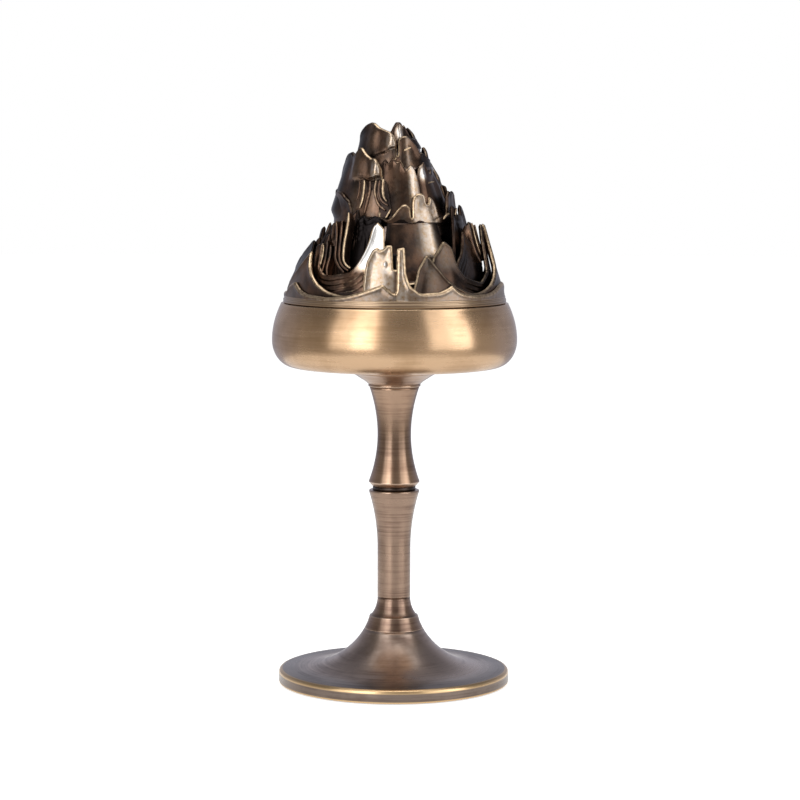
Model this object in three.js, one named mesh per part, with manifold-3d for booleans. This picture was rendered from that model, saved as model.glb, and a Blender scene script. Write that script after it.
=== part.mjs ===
// A hill censer on a tall stem: a turned foot, a stem in two bamboo-like sections, a round bowl,
// and a lift-off lid cast as tiers of overlapping mountains with smoke holes behind them.
// Millimetres, +Z up. The origin is the centre of the plane that the foot stands on, and the
// front of the censer faces -Y. Heights called "...Z" are above that plane.
import * as THREE from 'three';
import { mergeVertices } from 'three/addons/utils/BufferGeometryUtils.js';
import Module from 'manifold-3d';

const wasm = await Module();
wasm.setup();

// Smoothness of the turned work: steps round a circle
const wideSteps = 36;
const stemSteps = 24;
const smallSteps = 16;
const pinSteps = 12;
const fullTurn = 360;
const widestEdgeStep = 8; // degrees between two samples of a lid sheet's edge

// Fits
const slipFit = 0.2; // radial clearance where one piece drops into another
const seatGap = 0.2; // between the lid's band and the bowl's rim
const threadGap = 0.05; // between the tie rod and the plain bore of a nut
const pinPressGap = 0.05; // between the coil pin and its boss

// Foot: a thin disc that sweeps up into a trumpet
const footRadius = 35;
const rimTopZ = 4.3;
const rimChamfer = 0.5;
const sweepRadius = 23;
const sweepBottomZ = 4.9;
const sweepTopRadius = 8.9;
const footHeight = 16.6;

// Soft pad let into the underside of the foot
const padThickness = 1.5;
const padProud = 0.3;
const padRadius = 33;

// Tie rod, nuts and washers that clamp the stack together
const rodRadius = 2.5;
const rodClearance = 0.3;
const nutAcrossFlats = 8;
const nutHeight = 4;
const washerRadius = 5;
const washerThickness = 1;
const nutPocketRadius = 8;
const rodEndProud = 0.5; // rod end beyond each nut

// Registers: a short spigot centres each piece of the stem on the one below it
const spigotRadius = 4;
const spigotHeight = 1.5;

// Stem socket: a stepped cone that carries the stem on the foot
const socketStepHeight = 4;
const socketStepRadius = 7.6;
const socketLedge = 0.4;
const socketHollow = 0.15;
const socketHeight = 9.6;
const socketTopRadius = 4.8;
const neckHeight = 0.5; // plain neck on each side of the joint above it

// Lower stem section
const lowerStemRadius = 5.02;
const lowerStemLength = 32.9;
const lowerFlareLength = 17.6;
const lowerStemTopRadius = 7.6;
const lowerStemEdge = 0.4;

// Dark ring between the two sections
const ringThickness = 1.3;
const ringRadius = 6.5;

// Upper stem section
const lipRadius = 7.75;
const lipChamferRadius = 6.7;
const lipHeight = 1.2;
const waistRadius = 5.08;
const upperStemLength = 30.1;
const waistHeight = 15.6; // above the section's foot
const upperStemTopRadius = 7.5;

// Collar under the bowl
const collarBeadRadius = 8;
const collarBeadHeight = 0.9;
const collarTopRadius = 13.9;
const collarHeight = 4.5;
const collarEdge = 0.4;
const collarNeck = 0.1; // step in above the bead
const collarFlareFrom = 160; // degrees round its flare where the bead ends

// Bowl
const bowlRadius = 37;
const bowlHeight = 20.9;
const bowlBellyHeight = 9.7; // widest level, above the bowl's underside
const bowlFloorEdgeRadius = 30.5;
const bowlFloorEdgeRise = 1.7;
const bowlRimRadius = 34.4;
const bowlMouthRadius = 32.2;
const bowlWall = 1.4;
const bowlFloorThickness = 3;
const bowlRimEdge = 0.4;
const mouthRelief = 1; // mouth's plain wall below the lid's skirt

// Heat pad and incense stand inside the bowl
const heatPadRadius = 29.5;
const heatPadThickness = 5.5;
const heatPadHoleRadius = 6.5;
const heatPadBevel = 0.8;
const standRadius = 9.5;
const standThickness = 1.2;
const standRimHeight = 0.9;
const standRimWidth = 0.8;
const standEdge = 0.4;
const standRimSlope = 0.5;
const standBossRadius = 2.4;
const standBossHeight = 1.6;
const standBossTaper = 0.7;
const pinRadius = 0.75;
const pinLength = 9;
const pinPointLength = 2.5;

// Lid ring: band on the bowl's rim, skirt inside the mouth
const bandRadius = 33.6;
const bandHeight = 2.1;
const bandStep = 0.25;
const bandShoulder = 1.15; // plain height below the step
const skirtDepth = 4;
const skirtThickness = 1.5;

// Tiers of the lid, one on another: the height of each, the outer radius of the hollow core at its
// foot, and how far out its floor reaches to carry its sheets of hills
const lowerTierHeight = 22.2;
const lowerCoreRadius = 26.6;
const lowerFloorRadius = 30.9;
const middleTierHeight = 15.2;
const middleCoreRadius = 18.1;
const middleFloorRadius = 18.5;
const upperTierHeight = 6.8;
const upperCoreRadius = 10.9;
const upperFloorRadius = 11.7;
const summitCoreRadius = 7.6;
const summitFloorRadius = 8;
const capShoulderRadius = 4.6;
const capHeight = 2.6;
const capCrown = 0.5;
const coreWall = 1.3;
const tierFloor = 1.2;
const floorTaper = 0.5;
const sheetThickness = 1.1;
const sheetRoot = 0.4; // how far the outer sheets reach down into the band

// Smoke holes of each tier, as [bearing, width]: "inset" is how far inside the core's foot a slot's
// middle lies, "sill" its height above the tier's floor and "lintel" its depth below the next tier
const slotDepth = 12;
const lowerSlots = {
  inset: 5,
  sill: 10,
  lintel: 2,
  places: [[-26, 3.8], [-78, 3.2], [48, 3.4], [100, 3.2], [140, 3.4], [186, 3], [240, 3.2]],
};
const middleSlots = {
  inset: 3,
  sill: 3,
  lintel: 4,
  places: [[-50, 2.8], [-2, 2.8], [54, 2.6], [104, 2.8], [160, 2.8], [216, 2.8]],
};
const upperSlots = {
  inset: 1.5,
  sill: 2.2,
  lintel: 1.4,
  places: [[-24, 2], [50, 2], [110, 2], [186, 2]],
};

// Levels that follow from the sizes above
const padRecessTopZ = padThickness;
const footBottomZ = padProud;
const footTopZ = footHeight;
const socketTopZ = footTopZ + socketHeight;
const lowerStemTopZ = socketTopZ + lowerStemLength;
const ringTopZ = lowerStemTopZ + ringThickness;
const upperStemTopZ = ringTopZ + upperStemLength;
const bowlBottomZ = upperStemTopZ + collarHeight;
const bowlInsideFloorZ = bowlBottomZ + bowlFloorThickness;
const bowlBellyZ = bowlBottomZ + bowlBellyHeight;
const bowlRimZ = bowlBottomZ + bowlHeight;
const bandBottomZ = bowlRimZ + seatGap;
const boreRadius = rodRadius + rodClearance;
const bowlNutTopZ = bowlInsideFloorZ + washerThickness + nutHeight;
const nutPocketTopZ = padRecessTopZ + rodEndProud + nutHeight + washerThickness;
const heatPadTopZ = bowlInsideFloorZ + heatPadThickness;
const standTopZ = heatPadTopZ + standThickness;

// Tiers of the lid, from the bottom up
const hillTier = { z: bandBottomZ + bandHeight, core: lowerCoreRadius, floor: lowerFloorRadius };
const middleTier = { z: hillTier.z + lowerTierHeight, core: middleCoreRadius, floor: middleFloorRadius };
const upperTier = { z: middleTier.z + middleTierHeight, core: upperCoreRadius, floor: upperFloorRadius };
const summitTier = { z: upperTier.z + upperTierHeight, core: summitCoreRadius, floor: summitFloorRadius };

const patina = (name, color, roughness, metalness = 1) =>
  new THREE.MeshStandardMaterial({ name, color, roughness, metalness });
const bronze = patina('bronze', 0x9a7045, 0.38);
const paleBronze = patina('pale_bronze', 0xb98a50, 0.32);
const darkBronze = patina('dark_bronze', 0x4a3a2e, 0.45);
const steel = patina('steel', 0x9a9a98, 0.4);
const padRubber = patina('pad_rubber', 0x1d1c1c, 0.9, 0);
const mineralFelt = patina('mineral_felt', 0xd9d3c4, 0.95, 0);

// Points of a circular or elliptical arc, from one angle to another in degrees
function arc(centreR, centreZ, radiusR, radiusZ, from, to, steps) {
  const points = [];
  for (let i = 0; i <= steps; i++) {
    const angle = THREE.MathUtils.degToRad(from + ((to - from) * i) / steps);
    points.push([centreR + radiusR * Math.cos(angle), centreZ + radiusZ * Math.sin(angle)]);
  }
  return points;
}

// A shallow curve that leaves the vertical at (radius, startZ) and reaches endRadius at endZ
function flank(radius, startZ, endRadius, endZ, steps) {
  const points = [];
  for (let i = 0; i <= steps; i++) {
    const share = i / steps;
    points.push([radius + (endRadius - radius) * share * share, startZ + (endZ - startZ) * share]);
  }
  return points;
}

// Turns a closed profile of [radius, height] points about the Z axis
function turned(profile, steps) {
  const points = [...profile, profile[0]].map(([r, z]) => new THREE.Vector2(r, z));
  return new THREE.LatheGeometry(points, steps).rotateX(Math.PI / 2);
}

function piece(name, geometry, material) {
  const mesh = new THREE.Mesh(geometry, material);
  mesh.name = name;
  return mesh;
}

function solidOf(geometry) {
  const plain = new THREE.BufferGeometry();
  plain.setAttribute('position', geometry.getAttribute('position').clone());
  plain.setIndex(geometry.getIndex());
  const merged = mergeVertices(plain, 1e-4);
  return new wasm.Manifold(
    new wasm.Mesh({
      numProp: 3,
      vertProperties: merged.attributes.position.array,
      triVerts: new Uint32Array(merged.index.array),
    }),
  );
}

function geometryOf(solid) {
  const { vertProperties, triVerts, numProp } = solid.getMesh();
  const count = vertProperties.length / numProp;
  const positions = new Float32Array(count * 3);
  for (let i = 0; i < count; i++) {
    positions.set(vertProperties.subarray(i * numProp, i * numProp + 3), i * 3);
  }
  const geometry = new THREE.BufferGeometry();
  geometry.setAttribute('position', new THREE.BufferAttribute(positions, 3));
  geometry.setIndex(new THREE.BufferAttribute(new Uint32Array(triVerts), 1));
  return geometry;
}

// Foot

function foot() {
  const sweepCentreZ = sweepBottomZ + sweepRadius;
  const topAngle = Math.asin((sweepCentreZ - footTopZ) / sweepRadius);
  const sweepCentreR = sweepTopRadius + sweepRadius * Math.cos(topAngle);
  const sweep = arc(sweepCentreR, sweepCentreZ, sweepRadius, sweepRadius,
    -90, -180 + THREE.MathUtils.radToDeg(topAngle), 6);
  return turned([
    [padRadius + slipFit, footBottomZ],
    [footRadius - rimChamfer, footBottomZ],
    [footRadius, footBottomZ + rimChamfer],
    [footRadius, rimTopZ - rimChamfer],
    [footRadius - rimChamfer, rimTopZ],
    ...sweep,
    [spigotRadius, footTopZ],
    [spigotRadius, footTopZ + spigotHeight],
    [boreRadius, footTopZ + spigotHeight],
    [boreRadius, nutPocketTopZ],
    [nutPocketRadius, nutPocketTopZ],
    [nutPocketRadius, padRecessTopZ],
    [padRadius + slipFit, padRecessTopZ],
  ], wideSteps);
}

function footPad() {
  return turned([
    [nutPocketRadius, 0],
    [padRadius, 0],
    [padRadius, padRecessTopZ],
    [nutPocketRadius, padRecessTopZ],
  ], wideSteps);
}

// Fasteners

function washer(bottomZ) {
  return turned([
    [boreRadius, bottomZ],
    [washerRadius, bottomZ],
    [washerRadius, bottomZ + washerThickness],
    [boreRadius, bottomZ + washerThickness],
  ], smallSteps);
}

function hexNut(bottomZ) {
  const cornerRadius = nutAcrossFlats / Math.sqrt(3);
  const outline = new THREE.Shape();
  for (let i = 0; i < 6; i++) {
    const angle = (i * Math.PI) / 3;
    outline[i ? 'lineTo' : 'moveTo'](cornerRadius * Math.cos(angle), cornerRadius * Math.sin(angle));
  }
  outline.closePath();
  const bore = new THREE.Path();
  bore.absarc(0, 0, rodRadius + threadGap, 0, Math.PI * 2, true);
  outline.holes.push(bore);
  const body = new THREE.ExtrudeGeometry(outline, {
    depth: nutHeight,
    bevelEnabled: false,
    curveSegments: smallSteps / 2,
  });
  return body.translate(0, 0, bottomZ);
}

function tieRod() {
  const bottomZ = nutPocketTopZ - washerThickness - nutHeight - rodEndProud;
  const topZ = bowlNutTopZ + rodEndProud;
  const length = topZ - bottomZ;
  const rod = new THREE.CylinderGeometry(rodRadius, rodRadius, length, smallSteps);
  return rod.rotateX(Math.PI / 2).translate(0, 0, (topZ + bottomZ) / 2);
}

// Stem

// Socket in the underside of a stem piece, for the spigot of the piece below; runs outwards
const socketBelow = (z) => [
  [boreRadius, z + spigotHeight + slipFit],
  [spigotRadius + slipFit, z + spigotHeight + slipFit],
  [spigotRadius + slipFit, z],
];

// Spigot on top of a stem piece; runs inwards
const spigotAbove = (z) => [
  [spigotRadius, z],
  [spigotRadius, z + spigotHeight],
  [boreRadius, z + spigotHeight],
];

function stemSocket() {
  return turned([
    ...socketBelow(footTopZ),
    [sweepTopRadius, footTopZ],
    [(sweepTopRadius + socketStepRadius) / 2 - socketHollow, footTopZ + socketStepHeight / 2],
    [socketStepRadius, footTopZ + socketStepHeight],
    [socketStepRadius - socketLedge, footTopZ + socketStepHeight + socketLedge / 2],
    [socketTopRadius, socketTopZ - neckHeight],
    [socketTopRadius, socketTopZ],
    ...spigotAbove(socketTopZ),
  ], stemSteps);
}

function lowerStem() {
  const flareFootZ = lowerStemTopZ - lowerFlareLength;
  return turned([
    ...socketBelow(socketTopZ),
    [socketTopRadius, socketTopZ],
    [lowerStemRadius, socketTopZ + neckHeight],
    ...flank(lowerStemRadius, flareFootZ, lowerStemTopRadius, lowerStemTopZ - lowerStemEdge, 6),
    [lowerStemTopRadius - lowerStemEdge, lowerStemTopZ],
    [boreRadius, lowerStemTopZ],
  ], stemSteps);
}

function jointRing() {
  return turned([
    [boreRadius, lowerStemTopZ],
    [ringRadius, lowerStemTopZ],
    [ringRadius, ringTopZ],
    [boreRadius, ringTopZ],
  ], stemSteps);
}

function upperStem() {
  const waistZ = ringTopZ + waistHeight;
  return turned([
    [boreRadius, ringTopZ],
    [lipChamferRadius, ringTopZ],
    ...flank(waistRadius, waistZ, lipRadius, ringTopZ + lipHeight, 5).reverse(),
    ...flank(waistRadius, waistZ, upperStemTopRadius, upperStemTopZ, 5).slice(1),
    ...spigotAbove(upperStemTopZ),
  ], stemSteps);
}

function bowlCollar() {
  const beadTopZ = upperStemTopZ + collarBeadHeight;
  const flareHeight = bowlBottomZ - collarEdge - beadTopZ;
  const flareWidth = collarTopRadius - collarBeadRadius;
  return turned([
    ...socketBelow(upperStemTopZ),
    [upperStemTopRadius, upperStemTopZ],
    [collarBeadRadius, upperStemTopZ + collarBeadHeight / 2],
    [collarBeadRadius - collarNeck, beadTopZ],
    ...arc(collarTopRadius, beadTopZ, flareWidth, flareHeight, collarFlareFrom, 90, 4),
    [collarTopRadius, bowlBottomZ],
    ...spigotAbove(bowlBottomZ),
  ], stemSteps);
}

// Bowl and what stands in it

function bowl() {
  const floorR = bowlFloorEdgeRadius;
  const belly = bowlRadius - floorR;
  const bellyRise = bowlBellyHeight - bowlFloorEdgeRise;
  const innerRise = bowlBellyZ - bowlInsideFloorZ;
  return turned([
    [spigotRadius + slipFit, bowlBottomZ],
    [collarTopRadius, bowlBottomZ],
    ...arc(floorR, bowlBellyZ, belly, bellyRise, -90, 0, 6),
    ...flank(bowlRadius, bowlBellyZ, bowlRimRadius, bowlRimZ - bowlRimEdge, 4).slice(1),
    [bowlRimRadius - bowlRimEdge, bowlRimZ],
    [bowlMouthRadius, bowlRimZ],
    [bowlMouthRadius, bowlRimZ - skirtDepth - mouthRelief],
    ...arc(floorR - bowlWall, bowlBellyZ, belly, innerRise, 0, -90, 5),
    [boreRadius, bowlInsideFloorZ],
    [boreRadius, bowlBottomZ + spigotHeight + slipFit],
    [spigotRadius + slipFit, bowlBottomZ + spigotHeight + slipFit],
  ], wideSteps);
}

function heatPad() {
  return turned([
    [heatPadHoleRadius, bowlInsideFloorZ],
    [heatPadRadius - heatPadBevel, bowlInsideFloorZ],
    [heatPadRadius, bowlInsideFloorZ + heatPadBevel],
    [heatPadRadius, heatPadTopZ - heatPadBevel],
    [heatPadRadius - heatPadBevel, heatPadTopZ],
    [heatPadHoleRadius, heatPadTopZ],
  ], wideSteps);
}

function incensePlate() {
  const rimInner = standRadius - standRimWidth;
  return turned([
    [pinRadius + pinPressGap, heatPadTopZ],
    [standRadius - standEdge, heatPadTopZ],
    [standRadius, heatPadTopZ + standEdge],
    [standRadius, standTopZ + standRimHeight],
    [rimInner, standTopZ + standRimHeight],
    [rimInner - standRimSlope, standTopZ],
    [standBossRadius, standTopZ],
    [standBossRadius - standBossTaper, standTopZ + standBossHeight],
    [pinRadius + pinPressGap, standTopZ + standBossHeight],
  ], smallSteps);
}

function coilPin() {
  const shaft = heatPadTopZ + pinLength - pinPointLength;
  return turned([
    [0, heatPadTopZ],
    [pinRadius, heatPadTopZ],
    [pinRadius, shaft],
    [0, heatPadTopZ + pinLength],
  ], pinSteps);
}

// The lid's sheets. Each is a thin leaning wall round the lid whose top edge draws a line of hills.
// "foot" is its outer radius at the tier's floor and "lean" the radius that it loses for each
// millimetre of height. The edge is a list of [bearing, height, bow]: bearings are in degrees from
// the front, positive to the right, heights are above the tier's floor, and the bow shapes the
// stretch to the next point: 1 is straight, above 1 hollows it and below 1 rounds it like a knoll.
const foothillSheet = {
  foot: 33.3,
  lean: 0.12,
  edge: [
    [-100, 1, 1.2], [-63, 4.4, 3], [-44, 1, 2], [-7, 4.8, 1.3], [5, 2.4, 1.4],
    [31, 4.4, 2], [48, 1.6, 1.8], [82, 5, 2], [104, 1.2, 1.6], [128, 4.6, 2.4],
    [150, 1, 1.6], [178, 5.2, 1.4], [190, 2.2, 1.6], [214, 4.4, 2], [236, 1.2, 1.4],
    [248, 4.2, 1.6],
  ],
};

const frontSheet = {
  foot: 32.6,
  lean: 0.2,
  edge: [
    [-104, 2.2, 1], [-56, 16, 1], [-54, 7.4, 2.2], [-34, 1.4, 1], [-17, 1.6, 1],
    [-16, 7.8, 1], [-12.5, 15, 1], [-9, 15.8, 1], [-8, 14.8, 1], [-5.4, 15, 1],
    [-4.6, 16.2, 1], [-1.6, 16.2, 1], [-1, 9.4, 1], [1.2, 9.4, 1], [1.8, 15.8, 1],
    [5.2, 15.8, 1], [6, 7.2, 2.2], [11.5, 2.8, 0.8], [17.5, 13.3, 1.15], [42, 1.8, 2.4],
    [90, 12.4, 2.4], [118, 1.6, 1.2], [135, 14.6, 1], [138, 7.8, 2], [156, 1.4, 1.2],
    [186, 15.8, 1], [188.5, 8.8, 1.5], [196, 6.8, 1], [197, 12.8, 1], [203, 13.2, 1],
    [205, 5.8, 2], [222, 1.6, 1.4], [238, 10.8, 1.6],
  ],
};

const secondSheet = {
  foot: 30.9,
  lean: 0.22,
  edge: [
    [-100, 3.8, 1], [-84, 13.8, 1], [-72, 9.8, 1], [-58, 10.8, 1], [-56.5, 16.4, 1],
    [-53.5, 17, 1], [-52, 12.8, 1], [-50, 15.8, 1], [-47.5, 23.4, 1], [-45.5, 23, 1],
    [-44, 11.8, 2.4], [-36, 8.2, 3.1], [-12.4, 22.5, 1], [-8, 21.2, 1], [-6.8, 14.8, 1],
    [-5.5, 4.8, 1], [18, 5.8, 1], [30, 17.2, 1], [36.5, 15.2, 1], [44, 8.2, 2],
    [60, 4.8, 1], [72, 7.8, 1], [76, 17.8, 1], [84, 22, 1], [92, 21.8, 1],
    [98, 12.8, 2], [116, 5.8, 1.2], [126, 18.8, 1], [129, 12.8, 2], [150, 5.8, 1.6],
    [168, 20.8, 1], [171, 14.8, 1.4], [184, 9.8, 1], [200, 19.3, 1], [203, 12.8, 2],
    [222, 5.8, 1.4], [236, 15.8, 1.2], [248, 7.8, 1],
  ],
};

const thirdSheet = {
  foot: 29.6,
  lean: 0.27,
  edge: [
    [-104, 9.8, 1], [-92, 18.3, 1], [-84, 20.2, 1], [-78, 14.8, 1], [-66, 18.8, 1],
    [-62, 12.8, 1], [-47, 11.8, 1], [-44.5, 22.8, 1], [-41, 23.2, 1], [-39.5, 11.8, 2],
    [-30, 5.4, 1], [36, 5.8, 1], [46, 11.8, 1.4], [56, 19.8, 1], [60, 17.8, 1],
    [66, 15.8, 1], [70, 22.8, 1], [75, 22.4, 1], [78, 14.8, 1], [92, 17.8, 1.5],
    [104, 9.8, 1.6], [120, 20.8, 1], [124, 13.8, 2], [146, 8.8, 1.6], [156, 20.4, 1],
    [160, 15.8, 1.4], [178, 9.8, 1.6], [192, 22.4, 1], [196, 15.8, 1.2], [212, 10.8, 1.4],
    [228, 20.8, 1], [232, 13.8, 1.4], [246, 9.8, 1],
  ],
};

const fourthSheet = {
  foot: 27.8,
  lean: 0.29,
  edge: [
    [-100, 13.8, 1], [-90, 21.8, 1], [-80, 21.4, 1], [-74, 15.8, 1], [-58, 22.4, 1],
    [-54, 16.8, 1], [-46, 13.8, 1], [-42.5, 24.4, 1], [-38.5, 25, 1], [-36.5, 12.8, 2],
    [-30, 3.8, 1], [40, 5.8, 1.2], [50, 17.8, 1], [54, 22.8, 1], [58, 20.8, 1],
    [65, 22.8, 1], [68, 27.5, 1], [72, 25.8, 1], [75, 19.8, 1], [84, 17.8, 1.4],
    [100, 13.8, 1], [112, 22.8, 1], [116, 16.8, 1.4], [136, 12.8, 1], [146, 23.4, 1],
    [150, 17.8, 1.2], [170, 13.8, 1], [180, 24.8, 1], [185, 18.8, 1.4], [204, 13.8, 1],
    [216, 23.8, 1], [220, 17.8, 1.4], [238, 12.8, 1.2], [248, 21.8, 1], [252, 16.8, 1],
  ],
};

const domeSheet = {
  foot: 18.5,
  lean: 0.1,
  edge: [
    [-112, 2.6, 1], [-106, 9.4, 0.6], [-92, 9.8, 0.6], [-84, 8.2, 1], [-80, 9.4, 0.6],
    [-66, 8.6, 0.7], [-60, 5.6, 1], [-50, 7, 0.7], [-42, 2, 1], [-10, 1, 1.2],
    [8, 5.6, 0.6], [10.5, 5.2, 1], [11.5, 1.6, 1], [14.5, 2.2, 1], [16, 7, 0.6],
    [23.5, 8.9, 0.6], [28, 7.2, 1], [30.5, 5.2, 1], [33, 7.6, 0.7], [45, 5.4, 0.7],
    [49, 2.6, 1], [58, 2.2, 1], [60, 9.7, 1], [82, 9.2, 1], [86, 5.2, 1],
    [98, 1.6, 1], [110, 8, 0.8], [122, 5.6, 1], [130, 1.6, 1], [142, 9.2, 0.8],
    [154, 6.6, 1], [160, 1.6, 1], [174, 7.6, 0.7], [188, 8.6, 0.8], [194, 2.6, 1],
    [208, 7.2, 0.7], [222, 8.2, 0.8], [230, 2.6, 1], [240, 8.6, 0.8],
  ],
};

const foldSheet = {
  foot: 18,
  lean: 0.2,
  edge: [
    [-44, 1.6, 1], [-38, 10.6, 1], [-36, 12.8, 1], [-33, 12.4, 1], [-31.5, 5.6, 1],
    [-29.5, 5.6, 1], [-28, 12.3, 1], [-25.5, 12, 1], [-24, 6.2, 1], [-21, 6.2, 1],
    [-19.5, 12.6, 1], [-16.5, 12.2, 1], [-15, 6.6, 1], [-13.5, 12.2, 1], [-10.5, 12, 1],
    [-9, 6.6, 1], [-4, 2.2, 1], [96, 1.6, 1], [112, 10.6, 1], [115, 10.2, 1],
    [117, 4.6, 1], [119, 11.2, 1], [122, 10.6, 1], [124, 4.6, 1], [150, 1.6, 1],
    [168, 11.2, 1], [171, 10.6, 1], [173, 4.6, 1], [176, 12, 1], [179, 11.6, 1],
    [181, 5.6, 1], [184, 11.2, 1], [187, 10.6, 1], [189, 4.6, 1], [214, 1.6, 1],
    [226, 11.6, 1], [229, 11, 1], [231, 4.6, 1], [234, 11.2, 1], [237, 10.6, 1],
    [240, 3.6, 1],
  ],
};

const plateSheet = {
  foot: 17.9,
  lean: 0.29,
  edge: [
    [-112, 9.6, 1], [-88, 24.2, 0.9], [-80, 21.6, 1], [-67, 22.6, 1], [-48, 19.6, 0.8],
    [-40, 19, 0.5], [-30, 16.2, 0.6], [-24, 14.2, 1], [-10, 14.2, 0.7], [8, 13.8, 1],
    [11, 13.2, 1], [13, 15.6, 0.5], [20, 16.5, 0.5], [27, 15, 1], [29, 12, 1],
    [31, 15.2, 1], [45, 19.2, 1], [50, 15.6, 1], [60, 14.2, 1], [72, 17.6, 1],
    [84, 19.8, 1], [92, 16.6, 1], [100, 11.6, 1.6], [118, 18.2, 1], [124, 13.6, 1.2],
    [140, 11.2, 1.2], [156, 19.6, 1], [162, 14.6, 1.4], [180, 11.2, 1.2], [194, 18.6, 1],
    [200, 14, 1.4], [214, 11.2, 1.2], [230, 20.6, 1], [236, 14.6, 1.2],
  ],
};

const upperSheet = {
  foot: 11.4,
  lean: 0.23,
  edge: [
    [-104, 4.4, 1], [-84, 9.4, 1], [-70, 13.4, 0.6], [-50, 14.4, 0.5], [-36, 13, 0.6],
    [-26, 7.8, 1], [-22, 6.8, 1], [-15, 11.2, 0.5], [-4, 12.2, 0.5], [4, 9.4, 1],
    [8, 5.8, 1], [14, 5.4, 1], [22, 8, 1], [38, 9.8, 1], [44, 6.4, 1],
    [60, 5.4, 1], [74, 8, 1], [90, 6.4, 1], [100, 3.2, 1.2], [122, 10, 1],
    [128, 5.4, 1.2], [146, 3.2, 1.2], [164, 11.4, 0.8], [172, 7.4, 1], [186, 3.4, 1.4],
    [206, 10.4, 0.8], [214, 5.4, 1.2], [232, 3.4, 1.2], [244, 8.4, 1],
  ],
};

const summitSheet = {
  foot: 7.7,
  lean: 0.3,
  edge: [
    [-100, 2.6, 1], [-70, 4.6, 1], [-40, 3.6, 1], [-14, 5.6, 0.6], [2, 7.6, 0.5],
    [22, 7.2, 0.6], [40, 4.2, 1], [60, 2.6, 1], [90, 5, 0.8], [110, 2.6, 1],
    [140, 6.2, 0.8], [160, 3, 1], [190, 5.2, 0.8], [214, 2.6, 1], [236, 5.6, 0.8],
    [248, 3.2, 1],
  ],
};

// Samples of a sheet's edge as [bearing, height]; a bowed stretch takes more of them than a straight
// one
function edgeSamples(edge) {
  return edge.flatMap(([from, height, bow], i) => {
    const last = i + 1 === edge.length;
    const [next, nextHeight] = edge[last ? 0 : i + 1];
    const span = next + (last ? fullTurn : 0) - from;
    const steps = Math.max(Math.ceil(span / widestEdgeStep), bow === 1 ? 1 : 3);
    const low = Math.min(height, nextHeight);
    const rise = Math.abs(nextHeight - height);
    return Array.from({ length: steps }, (_, k) => {
      const along = k / steps;
      const fromLow = nextHeight > height ? along : 1 - along;
      return [from + span * along, low + rise * fromLow ** bow];
    });
  });
}

// A sheet as a solid ring that stands on a floor, and goes "root" down into it
function sheetSolid({ foot, lean, edge }, floorZ, root = 0) {
  const put = (bearing, radius, z) => {
    const angle = THREE.MathUtils.degToRad(bearing);
    return [radius * Math.sin(angle), -radius * Math.cos(angle), z];
  };
  const samples = edgeSamples(edge);
  const positions = samples.flatMap(([bearing, height]) => {
    const topRadius = foot - lean * height;
    return [
      ...put(bearing, foot, floorZ - root),
      ...put(bearing, topRadius, floorZ + height),
      ...put(bearing, topRadius - sheetThickness, floorZ + height),
      ...put(bearing, foot - sheetThickness, floorZ - root),
    ];
  });
  const index = [];
  for (let i = 0; i < samples.length; i++) {
    const a = i * 4;
    const b = ((i + 1) % samples.length) * 4;
    for (let k = 0; k < 4; k++) {
      const next = (k + 1) % 4;
      index.push(a + k, b + k, b + next, a + k, b + next, a + next);
    }
  }
  const geometry = new THREE.BufferGeometry();
  geometry.setAttribute('position', new THREE.Float32BufferAttribute(positions, 3));
  geometry.setIndex(index);
  return solidOf(geometry);
}

// Length of the hollow core inside the lid, with the floor that its sheets stand on
function tierCore(lower, upper) {
  const wallAt = (level, z) => level.core + ((upper.core - level.core) * (z - level.z)) / (upper.z - level.z);
  const floorTopZ = lower.z + tierFloor;
  return solidOf(turned([
    [lower.core - coreWall, lower.z],
    [lower.floor, lower.z],
    [lower.floor - floorTaper, floorTopZ],
    [wallAt(lower, floorTopZ), floorTopZ],
    [upper.core, upper.z],
    [upper.core - coreWall, upper.z],
  ], stemSteps));
}

// Smoke holes: upright slots through the core of one tier, below the next
function smokeHoles({ inset, sill, lintel, places }, lower, upper) {
  const fromZ = lower.z + sill;
  const toZ = upper.z - lintel;
  return places.map(([bearing, width]) => {
    const slot = new THREE.BoxGeometry(width, slotDepth, toZ - fromZ);
    slot.translate(0, inset - lower.core, (fromZ + toZ) / 2);
    return solidOf(slot.rotateZ(THREE.MathUtils.degToRad(bearing)));
  });
}

const joined = (solids) => solids.reduce((sum, solid) => sum.add(solid));
const without = (solid, cuts) => cuts.reduce((rest, cut) => rest.subtract(cut), solid);

function foothillRing() {
  const skirtRadius = bowlMouthRadius - slipFit;
  const sillRadius = hillTier.core - coreWall;
  const ring = solidOf(turned([
    [skirtRadius - skirtThickness, bandBottomZ - skirtDepth],
    [skirtRadius, bandBottomZ - skirtDepth],
    [skirtRadius, bandBottomZ],
    [bandRadius - bandStep, bandBottomZ],
    [bandRadius, bandBottomZ + bandStep],
    [bandRadius, bandBottomZ + bandShoulder],
    [bandRadius - bandStep, bandBottomZ + bandShoulder + bandStep],
    [bandRadius - bandStep, hillTier.z],
    [sillRadius, hillTier.z],
    [sillRadius, hillTier.z - tierFloor],
    [skirtRadius - skirtThickness, bandBottomZ],
  ], wideSteps));
  const sheets = [foothillSheet, frontSheet].map((sheet) => sheetSolid(sheet, hillTier.z, sheetRoot));
  return joined([ring, ...sheets]);
}

function lowerPeaks() {
  return joined([
    without(tierCore(hillTier, middleTier), smokeHoles(lowerSlots, hillTier, middleTier)),
    sheetSolid(secondSheet, hillTier.z),
    sheetSolid(thirdSheet, hillTier.z),
    sheetSolid(fourthSheet, hillTier.z),
  ]);
}

function middlePeaks() {
  return joined([
    without(tierCore(middleTier, upperTier), smokeHoles(middleSlots, middleTier, upperTier)),
    sheetSolid(domeSheet, middleTier.z),
    sheetSolid(foldSheet, middleTier.z),
    sheetSolid(plateSheet, middleTier.z),
  ]);
}

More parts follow.
